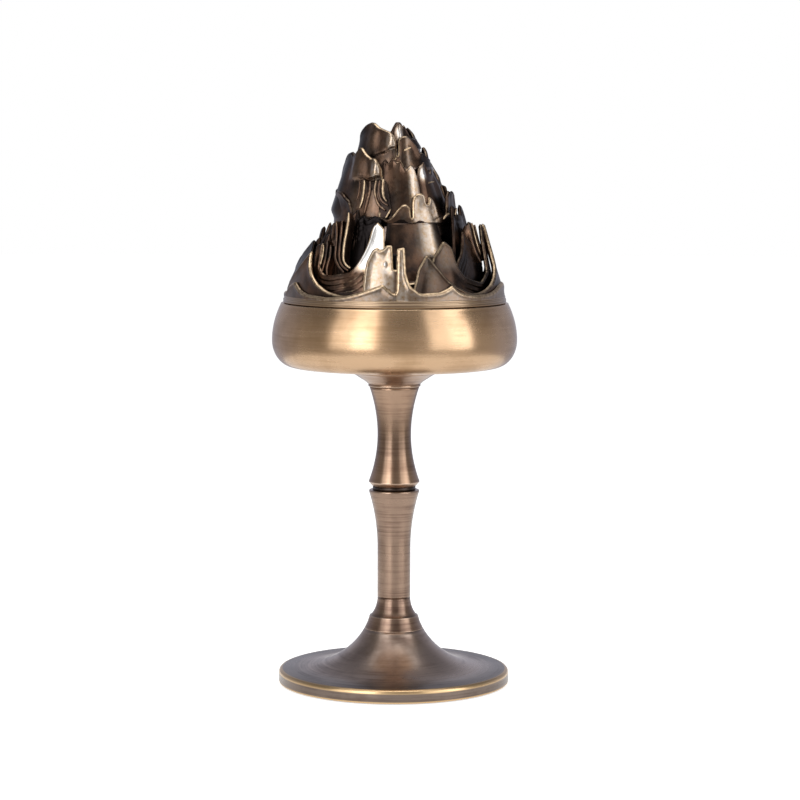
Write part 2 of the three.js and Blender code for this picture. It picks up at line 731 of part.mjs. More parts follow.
function upperPeaks() {
  return joined([
    without(tierCore(upperTier, summitTier), smokeHoles(upperSlots, upperTier, summitTier)),
    sheetSolid(upperSheet, upperTier.z),
  ]);
}

function summit() {
  const { z, floor } = summitTier;
  const cap = solidOf(turned([
    [0, z],
    [floor, z],
    [floor - floorTaper, z + tierFloor],
    [capShoulderRadius, z + capHeight],
    [0, z + capHeight + capCrown],
  ], smallSteps));
  return joined([cap, sheetSolid(summitSheet, z)]);
}

const stand = new THREE.Group();
stand.add(
  piece('foot', foot(), bronze),
  piece('foot_pad', footPad(), padRubber),
  piece('foot_washer', washer(nutPocketTopZ - washerThickness), steel),
  piece('foot_nut', hexNut(nutPocketTopZ - washerThickness - nutHeight), steel),
  piece('tie_rod', tieRod(), steel),
  piece('stem_socket', stemSocket(), paleBronze),
  piece('lower_stem', lowerStem(), bronze),
  piece('joint_ring', jointRing(), darkBronze),
  piece('upper_stem', upperStem(), bronze),
  piece('bowl_collar', bowlCollar(), bronze),
  piece('bowl', bowl(), paleBronze),
  piece('bowl_washer', washer(bowlInsideFloorZ), steel),
  piece('bowl_nut', hexNut(bowlInsideFloorZ + washerThickness), steel),
  piece('heat_pad', heatPad(), mineralFelt),
);

const incenseStand = new THREE.Group();
incenseStand.add(
  piece('incense_plate', incensePlate(), paleBronze),
  piece('coil_pin', coilPin(), paleBronze),
);

const lid = new THREE.Group();
lid.add(
  piece('foothill_ring', geometryOf(foothillRing()), paleBronze),
  piece('lower_peaks', geometryOf(lowerPeaks()), darkBronze),
  piece('middle_peaks', geometryOf(middlePeaks()), darkBronze),
  piece('upper_peaks', geometryOf(upperPeaks()), darkBronze),
  piece('summit', geometryOf(summit()), darkBronze),
);

const censer = new THREE.Group();
censer.add(stand, incenseStand, lid);
export default censer;
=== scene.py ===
import math

import bmesh
import bpy
import numpy as np
from mathutils import Matrix, Vector


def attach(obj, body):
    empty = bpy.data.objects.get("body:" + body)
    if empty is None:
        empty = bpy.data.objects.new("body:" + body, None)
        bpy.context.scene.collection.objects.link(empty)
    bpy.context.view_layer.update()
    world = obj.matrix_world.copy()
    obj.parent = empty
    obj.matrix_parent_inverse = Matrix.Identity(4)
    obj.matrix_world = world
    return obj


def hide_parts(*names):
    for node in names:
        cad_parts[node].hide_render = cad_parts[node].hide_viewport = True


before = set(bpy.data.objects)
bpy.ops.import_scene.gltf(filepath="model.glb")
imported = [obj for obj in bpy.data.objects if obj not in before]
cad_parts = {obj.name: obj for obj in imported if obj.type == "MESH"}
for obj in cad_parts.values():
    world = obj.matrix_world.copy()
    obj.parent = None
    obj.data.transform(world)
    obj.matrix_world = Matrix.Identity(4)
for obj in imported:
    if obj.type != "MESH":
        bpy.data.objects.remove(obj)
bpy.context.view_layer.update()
scene = bpy.context.scene
mm = 0.001
fullTurn = 2 * math.pi


def placed(name, data):
    made = bpy.data.objects.new(name, data)
    scene.collection.objects.link(made)
    return made


# Camera, fitted to the foot, stem and bowl edges of the photograph
camera = {
    "distance": 787.3,  # from the stem's axis, mm
    "height": 164.0,  # above the table, mm
    "sideways": 1.7,  # mm
    "pitch": 5.63,  # degrees down
    "roll": 0.18,  # degrees
    "lens": 117.6,
    "sensor": 36,
    "farthest": 20,  # m
}


def addCamera():
    data = bpy.data.cameras.new("viewCamera")
    data.lens = camera["lens"]
    data.sensor_width = camera["sensor"]
    data.clip_end = camera["farthest"]
    viewer = placed("viewCamera", data)
    viewer.location = (camera["sideways"] * mm, -camera["distance"] * mm, camera["height"] * mm)
    tilt = Matrix.Rotation(math.radians(90 - camera["pitch"]), 4, "X")
    roll = Matrix.Rotation(math.radians(camera["roll"]), 4, "Z")
    viewer.rotation_euler = (tilt @ roll).to_euler()
    scene.camera = viewer


addCamera()
print("camera set")


# Adds a node to a tree; an input is given as a value, or as the socket or node that feeds it
def addTo(tree):
    def add(kind, inputs=None, **settings):
        made = tree.nodes.new(kind)
        for key, value in settings.items():
            setattr(made, key, value)
        for key, value in (inputs or {}).items():
            if isinstance(value, bpy.types.Node):
                value = value.outputs[0]
            if isinstance(value, bpy.types.NodeSocket):
                tree.links.new(value, made.inputs[key])
            else:
                made.inputs[key].default_value = value
        return made

    return add


def blankMaterial(name):
    material = bpy.data.materials.new(name)
    material.use_nodes = True
    material.node_tree.nodes.clear()
    return material, addTo(material.node_tree)


def principled(add, inputs):
    shader = add("ShaderNodeBsdfPrincipled", inputs)
    add("ShaderNodeOutputMaterial", {"Surface": shader})


def maths(add, operation, *terms):
    return add("ShaderNodeMath", dict(enumerate(terms)), operation=operation)


def noise(add, place, scale, detail=4, roughness=0.6):
    inputs = {"Vector": place, "Scale": scale, "Detail": detail, "Roughness": roughness}
    return add("ShaderNodeTexNoise", inputs).outputs["Fac"]


def pointValue(add, name):
    return add("ShaderNodeAttribute", attribute_name=name).outputs["Fac"]


def mapped(add, value, before, after, **settings):
    titles = ("Value", "From Min", "From Max", "To Min", "To Max")
    return add("ShaderNodeMapRange", dict(zip(titles, (value, *before, *after))), **settings)


def ramped(add, factor, *stops):
    made = add("ShaderNodeValToRGB", {"Fac": factor})
    for element, (place, colour) in zip(made.color_ramp.elements, stops):
        element.position = place
        element.color = (*colour, 1)
    return made.outputs["Color"]


def mixColours(add, factor, first, second):
    first, second = [(*colour, 1) if isinstance(colour, tuple) else colour for colour in (first, second)]
    return add("ShaderNodeMix", {0: factor, 6: first, 7: second}, data_type="RGBA").outputs[2]


# Turned copper: rings left by the tool, brushed round the stem's axis, with a little patina. "rings" is
# how strong the rings are and "ringScale" how fine. Up to the height "rimBelow" the colour is multiplied
# by "rimDim", and within "waistReach" of the height "waist" it goes down to "waistDim". Heights are in mm.
plainTurned = {
    "rings": 0.35, "ringScale": 2400, "rimBelow": 0, "rimDim": 1,
    "waist": 0, "waistReach": 1, "waistDim": 1,
}
turnedLooks = {
    # the foot's bright edge colour on worn corners is rubbed metal and also paints the golden highlight
    # along its rim
    "footCopper": {
        "dark": (0.24, 0.165, 0.13), "light": (0.505, 0.39, 0.32), "edge": (0.72, 0.50, 0.27), "rough": 0.3,
        "rimBelow": 4.7, "rimDim": 0.42, "rings": 0.8, "ringScale": 1500,
    },
    "lowerCopper": {
        "dark": (0.175, 0.105, 0.075), "light": (0.345, 0.235, 0.17), "edge": (0.48, 0.35, 0.26),
        "rough": 0.3, "rings": 0.9, "ringScale": 1300,
    },
    "stemCopper": {
        "dark": (0.22, 0.125, 0.08), "light": (0.42, 0.275, 0.185), "edge": (0.56, 0.41, 0.30),
        "rough": 0.3, "rings": 0.8, "ringScale": 1300, "waist": 74, "waistReach": 13, "waistDim": 0.6,
    },
    "bowlCopper": {
        "dark": (0.42, 0.255, 0.13), "light": (0.64, 0.425, 0.255), "edge": (0.68, 0.49, 0.31),
        "rough": 0.27,
    },
    "bandCopper": {
        "dark": (0.17, 0.105, 0.062), "light": (0.31, 0.21, 0.132), "edge": (0.48, 0.35, 0.23),
        "rough": 0.33,
    },
    "coreCopper": {
        "dark": (0.085, 0.054, 0.043), "light": (0.235, 0.175, 0.152), "edge": (0.14, 0.10, 0.08),
        "rough": 0.23,
    },
    "darkCopper": {
        "dark": (0.022, 0.016, 0.014), "light": (0.055, 0.038, 0.030), "edge": (0.20, 0.14, 0.09),
        "rough": 0.42,
    },
}
toolMarks = {
    "streak": 0.03,  # how much a ring changes along its way round
    "bandScale": 420, "bandShare": 0.5, "cloudScale": 60,
    "darkUpTo": 0.66, "lightFrom": 1.0, "rimBlend": 0.4,
    "roughBetween": (0.6, 1.2), "roughSteps": (0.07, -0.04),
}


def turnedCopper(name):
    look = {**plainTurned, **turnedLooks[name]}
    material, add = blankMaterial(name)
    place = add("ShaderNodeTexCoord").outputs["Object"]
    split = add("ShaderNodeSeparateXYZ", {"Vector": place}).outputs
    level = add("ShaderNodeCombineXYZ", {"X": split["X"], "Y": split["Y"]})
    radius = add("ShaderNodeVectorMath", {0: level}, operation="LENGTH").outputs["Value"]
    stretch = (toolMarks["streak"], toolMarks["streak"], 0)
    streak = add("ShaderNodeVectorMath", {0: level, 1: stretch}, operation="MULTIPLY")
    rise = add("ShaderNodeCombineXYZ", {"Z": maths(add, "ADD", radius, split["Z"])})
    ring = add("ShaderNodeVectorMath", {0: streak, 1: rise}, operation="ADD")
    fine = noise(add, ring, look["ringScale"], roughness=0.65)
    bands = noise(add, ring, toolMarks["bandScale"], detail=3)
    cloud = noise(add, place, toolMarks["cloudScale"])
    mixed = maths(add, "MULTIPLY_ADD", bands, toolMarks["bandShare"], cloud)
    mixed = maths(add, "MULTIPLY_ADD", fine, look["rings"], mixed)
    evenly = (look["rings"] - plainTurned["rings"]) / 2  # stronger rings keep the mean colour
    mixed = maths(add, "SUBTRACT", mixed, evenly)
    darkStop, lightStop = (toolMarks["darkUpTo"], look["dark"]), (toolMarks["lightFrom"], look["light"])
    rim = look["rimBelow"]
    low = mapped(add, split["Z"], (rim * mm, (rim + toolMarks["rimBlend"]) * mm), (look["rimDim"], 1.0))
    away = maths(add, "ABSOLUTE", maths(add, "SUBTRACT", split["Z"], look["waist"] * mm))
    waist = mapped(add, away, (0, look["waistReach"] * mm), (look["waistDim"], 1.0),
                   interpolation_type="SMOOTHSTEP")
    metal = ramped(add, mixed, darkStop, lightStop)
    dimmed = mixColours(add, maths(add, "MULTIPLY", low, waist), (0, 0, 0), metal)
    roughs = [look["rough"] + step for step in toolMarks["roughSteps"]]
    rough = mapped(add, mixed, toolMarks["roughBetween"], roughs)
    bump = add("ShaderNodeBump", {"Height": fine, "Strength": 0.35, "Distance": 0.03 * mm})
    tangent = add("ShaderNodeTangent", direction_type="RADIAL", axis="Z")
    principled(add, {
        "Base Color": mixColours(add, pointValue(add, "wear"), dimmed, look["edge"]), "Roughness": rough,
        "Metallic": 1.0, "Anisotropic": 0.6, "Anisotropic Rotation": 0.25, "Normal": bump,
        "Tangent": tangent, "Coat Weight": 0.35, "Coat Roughness": 0.18,
    })
    return material


# Cast lid: dark patina that is rubbed golden along the edges of the hills, with painted shade mixed in by
# the
# "shade" attribute, and a near-white painted highlight where gold is above 1. The pairs are where the noise
# goes from one colour to the other, and "rubbed" is where the edge's wear begins and is complete.
castLook = {
    "shadeColour": (0.010, 0.008, 0.008), "dark": (0.042, 0.029, 0.025), "brown": (0.165, 0.094, 0.060),
    "gold": (0.43, 0.305, 0.195), "cream": (0.575, 0.51, 0.455), "rim": (0.68, 0.52, 0.34),
    "paintedHighlight": (0.93, 0.92, 0.91), "roughness": (0.21, 0.41),
    "grainScale": 900, "cloudScale": 140, "grainShare": 0.55, "rubbed": (0.52, 0.98),
    "mottleAt": (0.38, 0.66), "goldAt": (0.35, 0.7), "rimAt": (0.35, 0.62),
}


def castCopper(name):
    material, add = blankMaterial(name)
    place = add("ShaderNodeTexCoord").outputs["Object"]
    grain = noise(add, place, castLook["grainScale"])
    cloud = noise(add, place, castLook["cloudScale"])
    gold = pointValue(add, "gold")

    def between(factor, stops, first, second):
        return ramped(add, factor, (stops[0], castLook[first]), (stops[1], castLook[second]))

    mottle = between(cloud, castLook["mottleAt"], "dark", "brown")
    face = mixColours(add, gold, mottle, between(grain, castLook["goldAt"], "gold", "cream"))
    # gold above 1 mixes in a near-white painted highlight
    face = mixColours(add, mapped(add, gold, (1, 2), (0, 1)), face, castLook["paintedHighlight"])
    worn = maths(add, "MULTIPLY", pointValue(add, "wear"), pointValue(add, "polish"))
    worn = maths(add, "MULTIPLY_ADD", grain, castLook["grainShare"], worn)
    rubbed = mapped(add, worn, castLook["rubbed"], (0, 1))
    face = mixColours(add, rubbed, face, between(grain, castLook["rimAt"], "gold", "rim"))
    bump = add("ShaderNodeBump", {"Height": grain, "Strength": 0.35, "Distance": 0.08 * mm})
    principled(add, {
        # the shade attribute mixes the face towards near-black painted shade
        "Base Color": mixColours(add, pointValue(add, "shade"), face, castLook["shadeColour"]),
        "Roughness": mapped(add, grain, (0, 1), castLook["roughness"]), "Metallic": 1.0,
        "Normal": bump, "Coat Weight": 0.04, "Coat Roughness": 0.2,
    })
    return material


zinc = {"dark": (0.52, 0.52, 0.50), "light": (0.66, 0.66, 0.65), "spangle": 900, "rough": (0.28, 0.46)}


def zincSteel(name):
    material, add = blankMaterial(name)
    place = add("ShaderNodeTexCoord").outputs["Object"]
    spangle = add("ShaderNodeTexVoronoi", {"Vector": place, "Scale": zinc["spangle"]}).outputs["Distance"]
    principled(add, {
        "Base Color": ramped(add, spangle, (0.0, zinc["dark"]), (0.8, zinc["light"])), "Metallic": 1.0,
        "Roughness": mapped(add, spangle, (0, 1), zinc["rough"]),
    })
    return material


# Foam and mineral fibre: matt, with a fine open texture "depth" mm deep
fibres = {
    "blackFoam": {"dark": (0.012, 0.012, 0.012), "light": (0.035, 0.034, 0.033), "scale": 1800,
                  "depth": 0.15},
    "mineralFelt": {"dark": (0.60, 0.57, 0.50), "light": (0.82, 0.79, 0.72), "scale": 1200, "depth": 0.2},
}


def fibrous(name):
    look = fibres[name]
    material, add = blankMaterial(name)
    place = add("ShaderNodeTexCoord").outputs["Object"]
    fibre = noise(add, place, look["scale"], detail=6, roughness=0.7)
    bump = add("ShaderNodeBump", {"Height": fibre, "Strength": 0.6, "Distance": look["depth"] * mm})
    colour = ramped(add, fibre, (0.3, look["dark"]), (0.7, look["light"]))
    principled(add, {"Base Color": colour, "Roughness": 0.92, "Normal": bump})
    return material


finishes = {name: turnedCopper(name) for name in turnedLooks}
finishes |= {name: fibrous(name) for name in fibres}
finishes |= {"castCopper": castCopper("castCopper"), "zincSteel": zincSteel("zincSteel")}
print("materials made")


# A Geometry Nodes tree with named inputs, its adder, and the sockets that its inputs arrive on
def newTree(name, inputs):
    tree = bpy.data.node_groups.new(name, "GeometryNodeTree")
    tree.interface.new_socket("Geometry", in_out="OUTPUT", socket_type="NodeSocketGeometry")
    for title, kind in {"Geometry": "Geometry", **inputs, "Material": "Material"}.items():
        tree.interface.new_socket(title, in_out="INPUT", socket_type="NodeSocket" + kind)
    add = addTo(tree)
    return tree, add, add("NodeGroupInput").outputs


def finishTree(add, given, surface):
    smooth = add("GeometryNodeSetShadeSmooth", {0: surface})
    realised = add("GeometryNodeRealizeInstances", {0: smooth})
    coated = add("GeometryNodeSetMaterial", {0: realised, "Material": given["Material"]})
    add("NodeGroupOutput", {0: coated})


def namedValue(add, name, kind="FLOAT"):
    return add("GeometryNodeInputNamedAttribute", {0: name}, data_type=kind).outputs["Attribute"]


def markPoints(mesh, title, values, kind="FLOAT", field="value"):
    mesh.attributes.new(title, kind, "POINT").data.foreach_set(field, values)


def recalculateNormals(mesh):
    shape = bmesh.new()
    shape.from_mesh(mesh)
    bmesh.ops.recalc_face_normals(shape, faces=shape.faces)
    shape.to_mesh(mesh)
    shape.free()


# Turns what a piece's modifiers make into its plain mesh
def applied(piece):
    solid = bpy.data.meshes.new_from_object(piece.evaluated_get(bpy.context.evaluated_depsgraph_get()))
    piece.modifiers.clear()
    piece.data = solid


def shapeBy(tree, piece, values):
    modifier = piece.modifiers.new(tree.name, "NODES")
    modifier.node_group = tree
    inputs = {item.name: item.identifier for item in tree.interface.items_tree if item.in_out == "INPUT"}
    for title, value in values.items():
        modifier[inputs[title]] = value
    applied(piece)
    recalculateNormals(piece.data)


def settle(piece, body, slotName, *replaced):
    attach(piece, body)
    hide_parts(*replaced)


# Lathe: a closed profile is rounded at its marked corners and turned about the stem's axis
turning = {
    "spindle": 10,  # radius of the circle that carries the profile, mm
    "steps": 192, "cornerSteps": 3,
    "hold": 0.25,  # flats stay flat up to this far from a rounded corner, mm
    "most": 0.45,  # of a side, that a corner may take
}


def latheTree():
    tree, add, given = newTree("turnedOnLathe", {"Steps": "Int", "Corner steps": "Int"})
    spindle = turning["spindle"] * mm
    profile = add("GeometryNodeMeshToCurve", {0: given["Geometry"]})
    rounded = add("GeometryNodeFilletCurve", {
        "Curve": profile, "Count": given["Corner steps"], "Radius": namedValue(add, "cornerRound"),
        "Limit Radius": True}, mode="POLY")
    shifted = add("GeometryNodeSetPosition", {"Geometry": rounded, "Offset": (-spindle, 0, 0)})
    circle = add("GeometryNodeCurvePrimitiveCircle", {"Resolution": given["Steps"], "Radius": spindle})
    upright = add("GeometryNodeSetCurveNormal", {"Curve": circle}, mode="Z_UP")
    swept = add("GeometryNodeCurveToMesh", {"Curve": upright, "Profile Curve": shifted})
    welded = add("GeometryNodeMergeByDistance", {"Geometry": swept, "Distance": mm / 1000})
    finishTree(add, given, welded)
    return tree


lathe = latheTree()


# A profile is a list of (radius, height) or (radius, height, corner rounding) in mm. Each rounded corner
# gets a point on either side that holds the flats, and every point its wear as a fourth value.
def heldProfile(profile):
    points = [(*point, 0)[:3] for point in profile]
    held = []
    for index, (radius, height, rounding) in enumerate(points):
        if not rounding:
            held.append((radius, height, 0, 0))
            continue
        here = Vector((radius, height))
        sides = []
        for other in (points[index - 1], points[(index + 1) % len(points)]):
            along = Vector(other[:2]) - here
            reach = min(rounding + turning["hold"], turning["most"] * along.length)
            sides.append((*(here + along.normalized() * reach), 0, 0))
        held += [sides[0], (radius, height, rounding, 1), sides[1]]
    return held


def turned(name, profile, material, steps=turning["steps"]):
    radii, heights, roundings, wears = zip(*heldProfile(profile))
    count = len(radii)
    outline = bpy.data.meshes.new(name)
    outline.from_pydata([(r * mm, -z * mm, 0) for r, z in zip(radii, heights)],
                        [(i, (i + 1) % count) for i in range(count)], [])
    markPoints(outline, "cornerRound", [rounding * mm for rounding in roundings])
    markPoints(outline, "wear", wears)
    piece = placed(name, outline)
    shapeBy(lathe, piece, {"Steps": steps, "Corner steps": turning["cornerSteps"], "Material": material})
    return piece


def arc(centreR, centreZ, radiusR, radiusZ, start, end, steps):
    angles = np.radians(np.linspace(start, end, steps + 1))
    return [(centreR + radiusR * math.cos(a), centreZ + radiusZ * math.sin(a)) for a in angles]


# A shallow curve that leaves the vertical at (radius, startZ) and reaches endRadius at endZ
def flank(radius, startZ, endRadius, endZ, steps):
    shares = np.linspace(0, 1, steps + 1)
    return [(radius + (endRadius - radius) * s * s, startZ + (endZ - startZ) * s) for s in shares]


# Fits shared by the turned pieces, mm
fit = {"bore": 2.8, "spigotRadius": 4, "spigotHeight": 1.5, "slip": 0.2}


def socketBelow(z):
    roof = z + fit["spigotHeight"] + fit["slip"]
    wall = fit["spigotRadius"] + fit["slip"]
    return [(fit["bore"], roof), (wall, roof), (wall, z)]


def spigotAbove(z):
    roof = z + fit["spigotHeight"]
    return [(fit["spigotRadius"], z), (fit["spigotRadius"], roof), (fit["bore"], roof)]


# A hollow sweep that starts level at the height "bottom" and ends at (radius, top)
def sweepUp(radius, top, bottom, bend, steps):
    centreZ = bottom + bend
    angle = math.degrees(math.asin((centreZ - top) / bend))
    centreR = radius + bend * math.cos(math.radians(angle))
    return arc(centreR, centreZ, bend, bend, -90, angle - 180, steps)


# Turned pieces that aren't on the lid, from the table up. A profile runs round the piece's section.
turnedPieces = {
    "footDisc": {
        "body": "stand", "slot": "bronze", "node": "foot", "finish": "footCopper", "steps": 256,
        "profile": [
            (33.2, 0.3, 0.15), (35, 0.3, 0.4), (35, 4.3, 1), *sweepUp(8.9, 16.6, 4.9, 23, 28),
            *spigotAbove(16.6), (2.8, 7), (8, 7), (8, 1.5, 0.2), (33.2, 1.5),
        ],
    },
    "footPadFoam": {  # flat where it stands, and drawn up a little at its edges
        "body": "stand", "slot": "pad_rubber", "node": "foot_pad", "finish": "blackFoam",
        "profile": [(8, 0.12, 0.45), (12.5, 0), (28.5, 0), (33, 0.12, 0.45), (33, 1.5, 0.2), (8, 1.5, 0.2)],
    },
    "stemSocketTurned": {
        "body": "stand", "slot": "pale_bronze", "node": "stem_socket", "finish": "lowerCopper",
        "profile": [
            *socketBelow(16.6), (8.9, 16.6, 0.1), (7.975, 18.6), (7.35, 20.6, 0.15), (6.9, 20.72),
            (6.5, 21.3), (6.1, 21.9), (5.75, 22.6), (5.45, 23.4), (5.25, 24.2), (5.1, 25), (5, 25.7),
            (4.98, 26.2), *spigotAbove(26.2),
        ],
    },
    "lowerStemTurned": {
        "body": "stand", "slot": "bronze", "node": "lower_stem", "finish": "lowerCopper",
        "profile": [
            *socketBelow(26.2), (4.98, 26.2), (5.02, 26.7), *flank(5.02, 41.5, 7.6, 58.6, 24),
            (7.6, 59.1, 0.45), (2.8, 59.1),
        ],
    },
    "jointRingTurned": {
        "body": "stand", "slot": "dark_bronze", "node": "joint_ring", "finish": "darkCopper",
        "profile": [(2.8, 59.1), (6.5, 59.1), (6.5, 60.4), (2.8, 60.4)],
    },
    "upperStemTurned": {
        "body": "stand", "slot": "bronze", "node": "upper_stem", "finish": "stemCopper",
        "profile": [
            (2.8, 60.4), (6.7, 60.4, 0.2), (7.75, 61.6, 0.3), *flank(5.08, 76, 7.75, 61.6, 22)[-2::-1],
            *flank(5.08, 76, 7.5, 90.35, 22)[1:], (7.35, 90.5), *spigotAbove(90.5),
        ],
    },
    "bowlCollarTurned": {
        "body": "stand", "slot": "bronze", "node": "bowl_collar", "finish": "stemCopper",
        "profile": [
            *socketBelow(90.5), (7.35, 90.5), (7.9, 90.7, 0.2), (7.9, 91.3, 0.2), (7.65, 91.4),
            (8.1, 91.55), (8.5, 91.95), (9.05, 92.35), (9.75, 92.8), (10.6, 93.35), (11.6, 94),
            (12.7, 94.6), (13.9, 95), *spigotAbove(95),
        ],
    },
    "bowlTurned": {
        "body": "stand", "slot": "pale_bronze", "node": "bowl", "finish": "bowlCopper", "steps": 256,
        "profile": [
            (4.2, 95), (13.9, 95), *arc(30.5, 104.7, 6.5, 8, -90, 0, 36),
            *flank(37, 104.7, 34.4, 115.5, 20)[1:], (34.3, 115.9, 0.35), (32.2, 115.9, 0.3),
            (32.2, 110.9, 0.3), *arc(29.1, 104.7, 6.5, 6.7, 0, -90, 20), (2.8, 98), *socketBelow(95)[:2],
        ],
    },
    "heatPadFelt": {
        "body": "heat_pad", "slot": "mineral_felt", "node": "heat_pad", "finish": "mineralFelt",
        "profile": [
            (6.5, 98, 0.4), (29.5, 98, 0.9), (29.5, 103.5, 1.1), (22, 103.5), (12, 103.5),
            (6.5, 103.5, 0.5),
        ],
    },
    "incensePlateTurned": {
        "body": "coil_stand", "slot": "pale_bronze", "node": "incense_plate", "finish": "bowlCopper",
        "steps": 128,
        "profile": [
            (0.8, 103.5), (9.5, 103.5, 0.35), (9.5, 105.6, 0.25), (8.7, 105.6, 0.25), (8.3, 104.7, 0.35),
            (2.4, 104.7, 0.4), (1.8, 106.3, 0.3), (0.8, 106.3),
        ],
    },
    "coilPinTurned": {
        "body": "coil_stand", "slot": "pale_bronze", "node": "coil_pin", "finish": "bandCopper",
        "steps": 48,
        "profile": [(0, 103.5), (0.75, 103.5), (0.75, 110), (0.18, 112.38), (0, 112.5)],
    },
}


def makeTurned(name, spec):
    piece = turned(name, spec["profile"], finishes[spec["finish"]], spec.get("steps", turning["steps"]))
    settle(piece, spec["body"], spec["slot"], spec["node"])
    return piece


made = {name: makeTurned(name, spec) for name, spec in turnedPieces.items()}
for node in ("foot_washer", "foot_nut", "tie_rod", "bowl_washer", "bowl_nut"):
    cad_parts[node].data.materials.clear()
    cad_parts[node].data.materials.append(finishes["zincSteel"])
print("turned pieces made")


# Turned pieces of the lid: the band on the bowl's rim with its skirt in the mouth, and the closed top
lidRing = {
    "body": "lid", "slot": "pale_bronze", "node": "foothill_ring", "finish": "bandCopper", "steps": 256,
    "profile": [
        (30.5, 112.1, 0.3), (32, 112.1, 0.4), (32, 116.1), (33.6, 116.1, 0.25), (33.6, 117.25, 0.15),
        (33.35, 117.37, 0.05), (33.35, 118.2, 0.2), (25.3, 118.2), (25.3, 117), (30.5, 116.1, 0.3),
    ],
}
summitCap = {
    "body": "lid", "slot": "dark_bronze", "node": "summit", "finish": "coreCopper", "steps": 96,
    "profile": [(0, 162.4), (6.9, 162.4, 0.2), (6.4, 163.6, 0.3), (4.6, 165, 1.2), (0, 165.5)],
}

# Tiers of the lid: floor height, radius of the hollow core at its foot, radius of the floor, mm
tiers = {
    "hill": {"z": 118.2, "core": 26.6, "floor": 30.9},
    "middle": {"z": 140.4, "core": 18.1, "floor": 18.5},
    "upper": {"z": 155.6, "core": 10.9, "floor": 11.7},
    "summit": {"z": 162.4, "core": 7.6, "floor": 6.9},
}
tierOf = {
    "foothill_ring": "hill", "lower_peaks": "hill", "middle_peaks": "middle", "upper_peaks": "upper",
    "summit": "summit",
}

# The lid's sheets of hills. "foot" is a sheet's outer radius at its tier's floor and "lean" what it
# loses for each mm of height. "edge" lists (bearing, height) or (bearing, height, bow): degrees to the
# right of the front, mm above the floor, and the shape of the stretch that follows, straight without a
# bow. The lists of (bearing, value) that run round a sheet are
#   gold, how golden the face is from "goldAbove" mm up, partly rubbed metal and partly painted highlight,
#   turning into a near-white painted highlight from 1 to 2; and polish, for its edge;
#   press, what the face stands forward in mm, and tilt, what is added to the lean;
#   paintedShade, how much painted shade darkens the face, and echo, how deep the steps are that follow
#   the edge up to "echoTop" mm;
#   ledge, a height above which the face stands forward by overhang.
# "rim" widens the bead and the rubbed line along the edge, "bead" is the bead's strength, "hollow" how
# far the face sinks behind it in mm, "root" how far the sheet goes into its floor and "footShade" how
# dark its foot is painted in shade. "swells" are (bearing, height, half width, half height, rise, gold),
# where a gold above 1 paints a near-white highlight.
everywhere = {key: [(0, 0)] for key in ("gold", "press", "tilt", "paintedShade", "echo", "ledge", "overhang")}
plainSheet = {
    **everywhere, "slot": "dark_bronze", "rim": 1, "bead": 1, "hollow": 0.25, "root": 0.3, "footShade": 0.9,
    "echoTop": 99, "goldAbove": -9, "swells": [],
}
